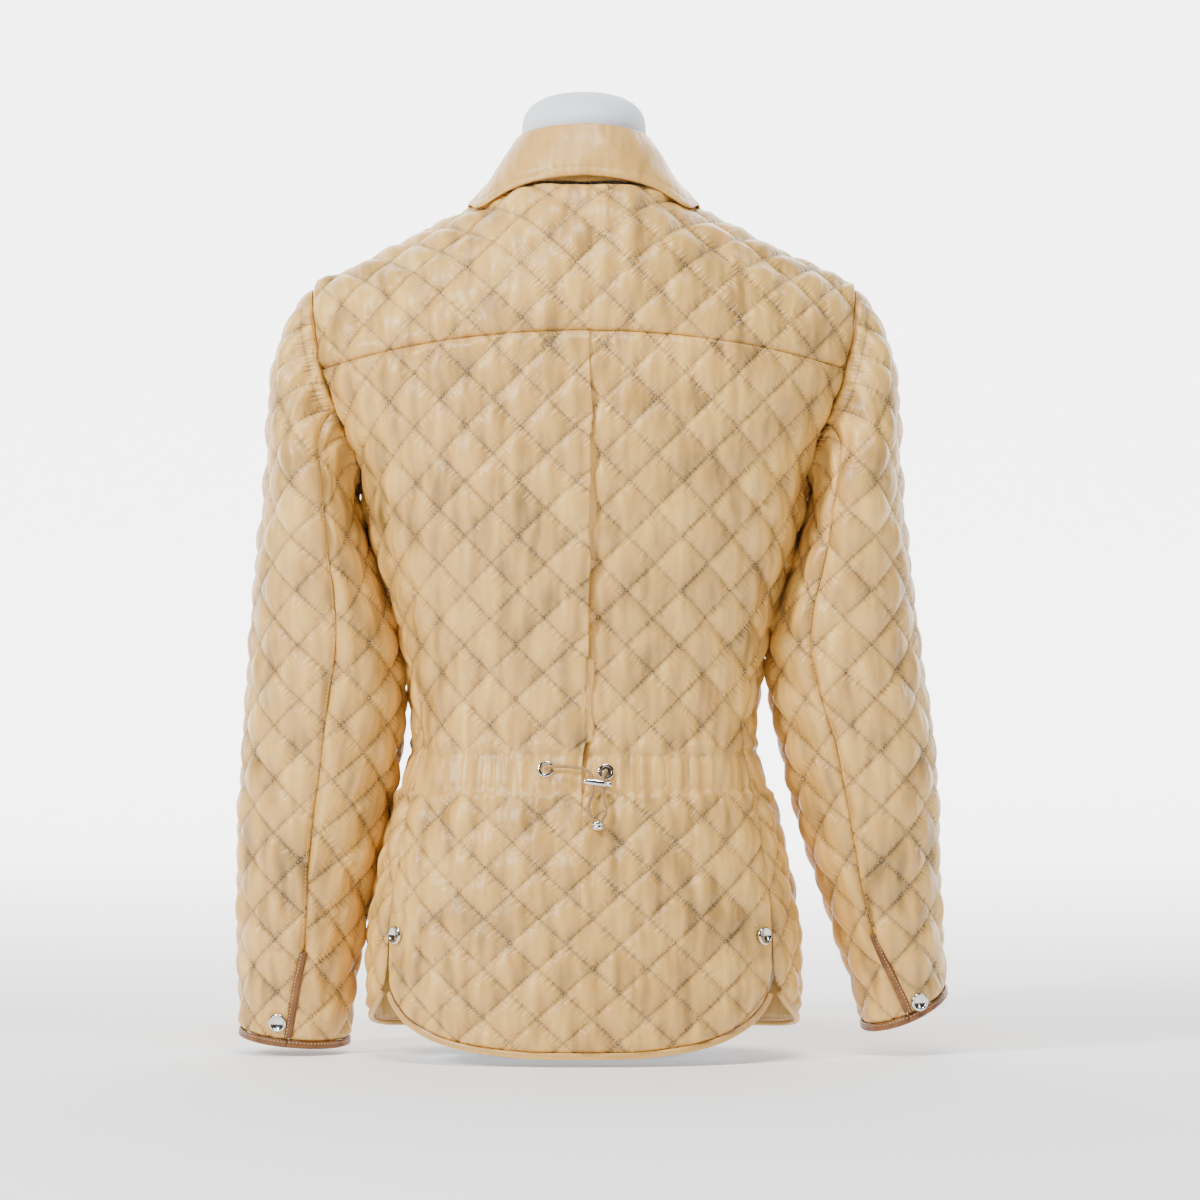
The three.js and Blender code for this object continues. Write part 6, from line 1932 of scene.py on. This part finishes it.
def form_loop(z):
    """One level loop of the form's torso."""
    wide = float(BODY["half"](z) * FORM["wide"](z))
    tries = np.arange(wide, 1, -0.5)
    low = SHOULDER(tries) - FORM_DROP(tries) < z + 0.2
    reach = tries[np.argmin(low)] if low[0] else wide
    x = reach * np.sin(FORM_TURN)
    front = np.cos(FORM_TURN) < 0
    full = float(FORM["deep"](z)) * np.where(front, BODY["front"](z), BODY["back"](z))
    rounded_off = (1 - np.minimum(1, np.abs(x) / wide) ** ROUND) ** (1 / ROUND)
    level = np.full_like(x, z)
    y = full * rounded_off * np.where(
        front,
        shoulder_turn(np.abs(x), level, True, FORM_DROP(np.abs(x))),
        shoulder_turn(np.abs(x), level, False, FORM_DROP(np.abs(x))),
    )
    return np.stack([x, MID_Y + np.where(front, y, -y), level], -1)


def neck_loop(z):
    """One level loop of the form's neck, rounded over at the top."""
    rise = max(0.0, (z - NECK_FORM["dome"]) / (NECK_FORM["top"] - NECK_FORM["dome"]))
    share = max(0.02, (1 - rise**2.4) ** (1 / 2.4))
    deep = np.where(np.cos(FORM_TURN) > 0, NECK_FORM["back"], NECK_FORM["front"])
    x = NECK_FORM["half"] * share * np.sin(FORM_TURN)
    y = NECK_FORM["y"] - deep * share * np.cos(FORM_TURN)
    return np.stack([x, y, np.full_like(x, z)], -1)


def build_form():
    low = [0, 1.5, 3, 5, 8, 11, 14, 18, 22, 28, 34, 42, 50, 60, 70, 80, 93]
    levels = [*low, *np.arange(103, 560, 9), *np.arange(560, FORM_TOP, 5), FORM_TOP]
    loops = [form_loop(float(z)) for z in levels]
    swept("dress_form_torso", loops, MATERIALS["jersey"], "form_cover", ["dress_form"])
    dome = NECK_FORM["dome"]
    rise = 1 - np.linspace(1, 0, 22) ** 2
    tops = dome + (NECK_FORM["top"] - dome) * rise
    levels = [*np.arange(NECK_FORM["foot"], dome, 8), *tops]
    swept("dress_form_neck", [neck_loop(float(z)) for z in levels], MATERIALS["jersey"], "form_cover")


build_snaps()
for side_name, (eyelet_u, eyelet_v) in EYELETS.items():
    build_eyelet(f"eyelet_{side_name}", eyelet_u, eyelet_v)
lock = build_fitting("cord_lock", LOCK, (-0.4, 206.2, 8.3), (20.4, 203.2, 8.3))
clip = build_fitting("cord_end_clip", CLIP, (10, 169.6, 8), (10, 176.2, 8))
build_cord("left")
build_cord("right")
build_form()


# Stage, lights and camera
# In metres: the floor's front and back ends, the bend's radius, the wall's top and half the width
BACKDROP = {"front": -9.0, "bend": 3.2, "radius": 2.5, "top": 7.0, "half": 9.0, "sunk": 0.0005}
GLOW = {1: 0.4, 2: 4.0, 3: 0.3, 4: 4.5}     # from these places behind the form, to these strengths


def build_stage():
    """A pale floor that turns up into a wall, so that no edge shows."""
    bend, radius, half = (BACKDROP[key] for key in ("bend", "radius", "half"))
    rows = [(BACKDROP["front"], 0.0), (bend, 0.0)]
    for t in np.linspace(0.1, math.pi / 2, 12):
        rows.append((bend + radius * math.sin(t), radius - radius * math.cos(t)))
    rows.append((bend + radius, BACKDROP["top"]))
    points = [(x, y, z - BACKDROP["sunk"]) for y, z in rows for x in (-half, half)]
    faces = [(2 * k, 2 * k + 1, 2 * k + 3, 2 * k + 2) for k in range(len(rows) - 1)]
    mesh = bpy.data.meshes.new("backdrop")
    mesh.from_pydata(points, [], faces)
    mesh.polygons.foreach_set("use_smooth", [True] * len(faces))
    look = Look("backdrop_paper", Roughness=0.9)
    look.shader.inputs["Base Color"].default_value = (0.9, 0.9, 0.9, 1)
    look.shader.inputs["Emission Color"].default_value = (1, 1, 1, 1)
    place_at = look.place_at()
    behind = look.node("ShaderNodeSeparateXYZ", {"Vector": place_at}).outputs[1]
    glow = look.node("ShaderNodeMapRange", {"Value": behind, **GLOW})
    look.links.new(glow.outputs[0], look.shader.inputs["Emission Strength"])
    mesh.materials.append(look.material)
    backdrop = bpy.data.objects.new("backdrop", mesh)
    bpy.context.collection.objects.link(backdrop)


AIM = (0, 0, 0.38)
LIGHTS = [
    ("key", (-2.0, -1.9, 1.9), (0.4, 0.9), 112),
    ("fill", (2.2, -1.2, 1.2), (0.4, 1.2), 11),
    ("top", (0.0, -0.9, 2.6), (1.0, 0.35), 56),
    ("rear", (0.4, 2.6, 1.8), (2.4, 1.6), 30),
]
AMBIENT = 0.05


def add_light(name, at, size, power):
    data = bpy.data.lights.new(name, "AREA")
    data.shape = "RECTANGLE"
    data.size, data.size_y = size
    data.energy = power
    light = bpy.data.objects.new(name, data)
    light.location = at
    look_at = np.array(AIM) - np.array(at)
    light.rotation_euler = Vector(look_at).to_track_quat("-Z", "Y").to_euler()
    bpy.context.collection.objects.link(light)


def build_lights():
    world = bpy.data.worlds.new("studio")
    world.use_nodes = True
    shade, strength = world.node_tree.nodes["Background"].inputs[:2]
    shade.default_value = (1, 1, 1, 1)
    strength.default_value = AMBIENT
    bpy.context.scene.world = world
    for light in LIGHTS:
        add_light(*light)


CAMERA = {"x": 12, "y": -4000, "z": 340.7, "lens": 160, "sensor": 36}


def build_camera():
    data = bpy.data.cameras.new("camera")
    data.lens, data.sensor_width = CAMERA["lens"], CAMERA["sensor"]
    data.clip_start, data.clip_end = 0.1, 40
    camera = bpy.data.objects.new("camera", data)
    camera.location = place((CAMERA["x"], CAMERA["y"], CAMERA["z"]))
    camera.rotation_euler = (math.pi / 2, 0, 0)
    bpy.context.collection.objects.link(camera)
    bpy.context.scene.camera = camera


build_stage()
build_lights()
build_camera()
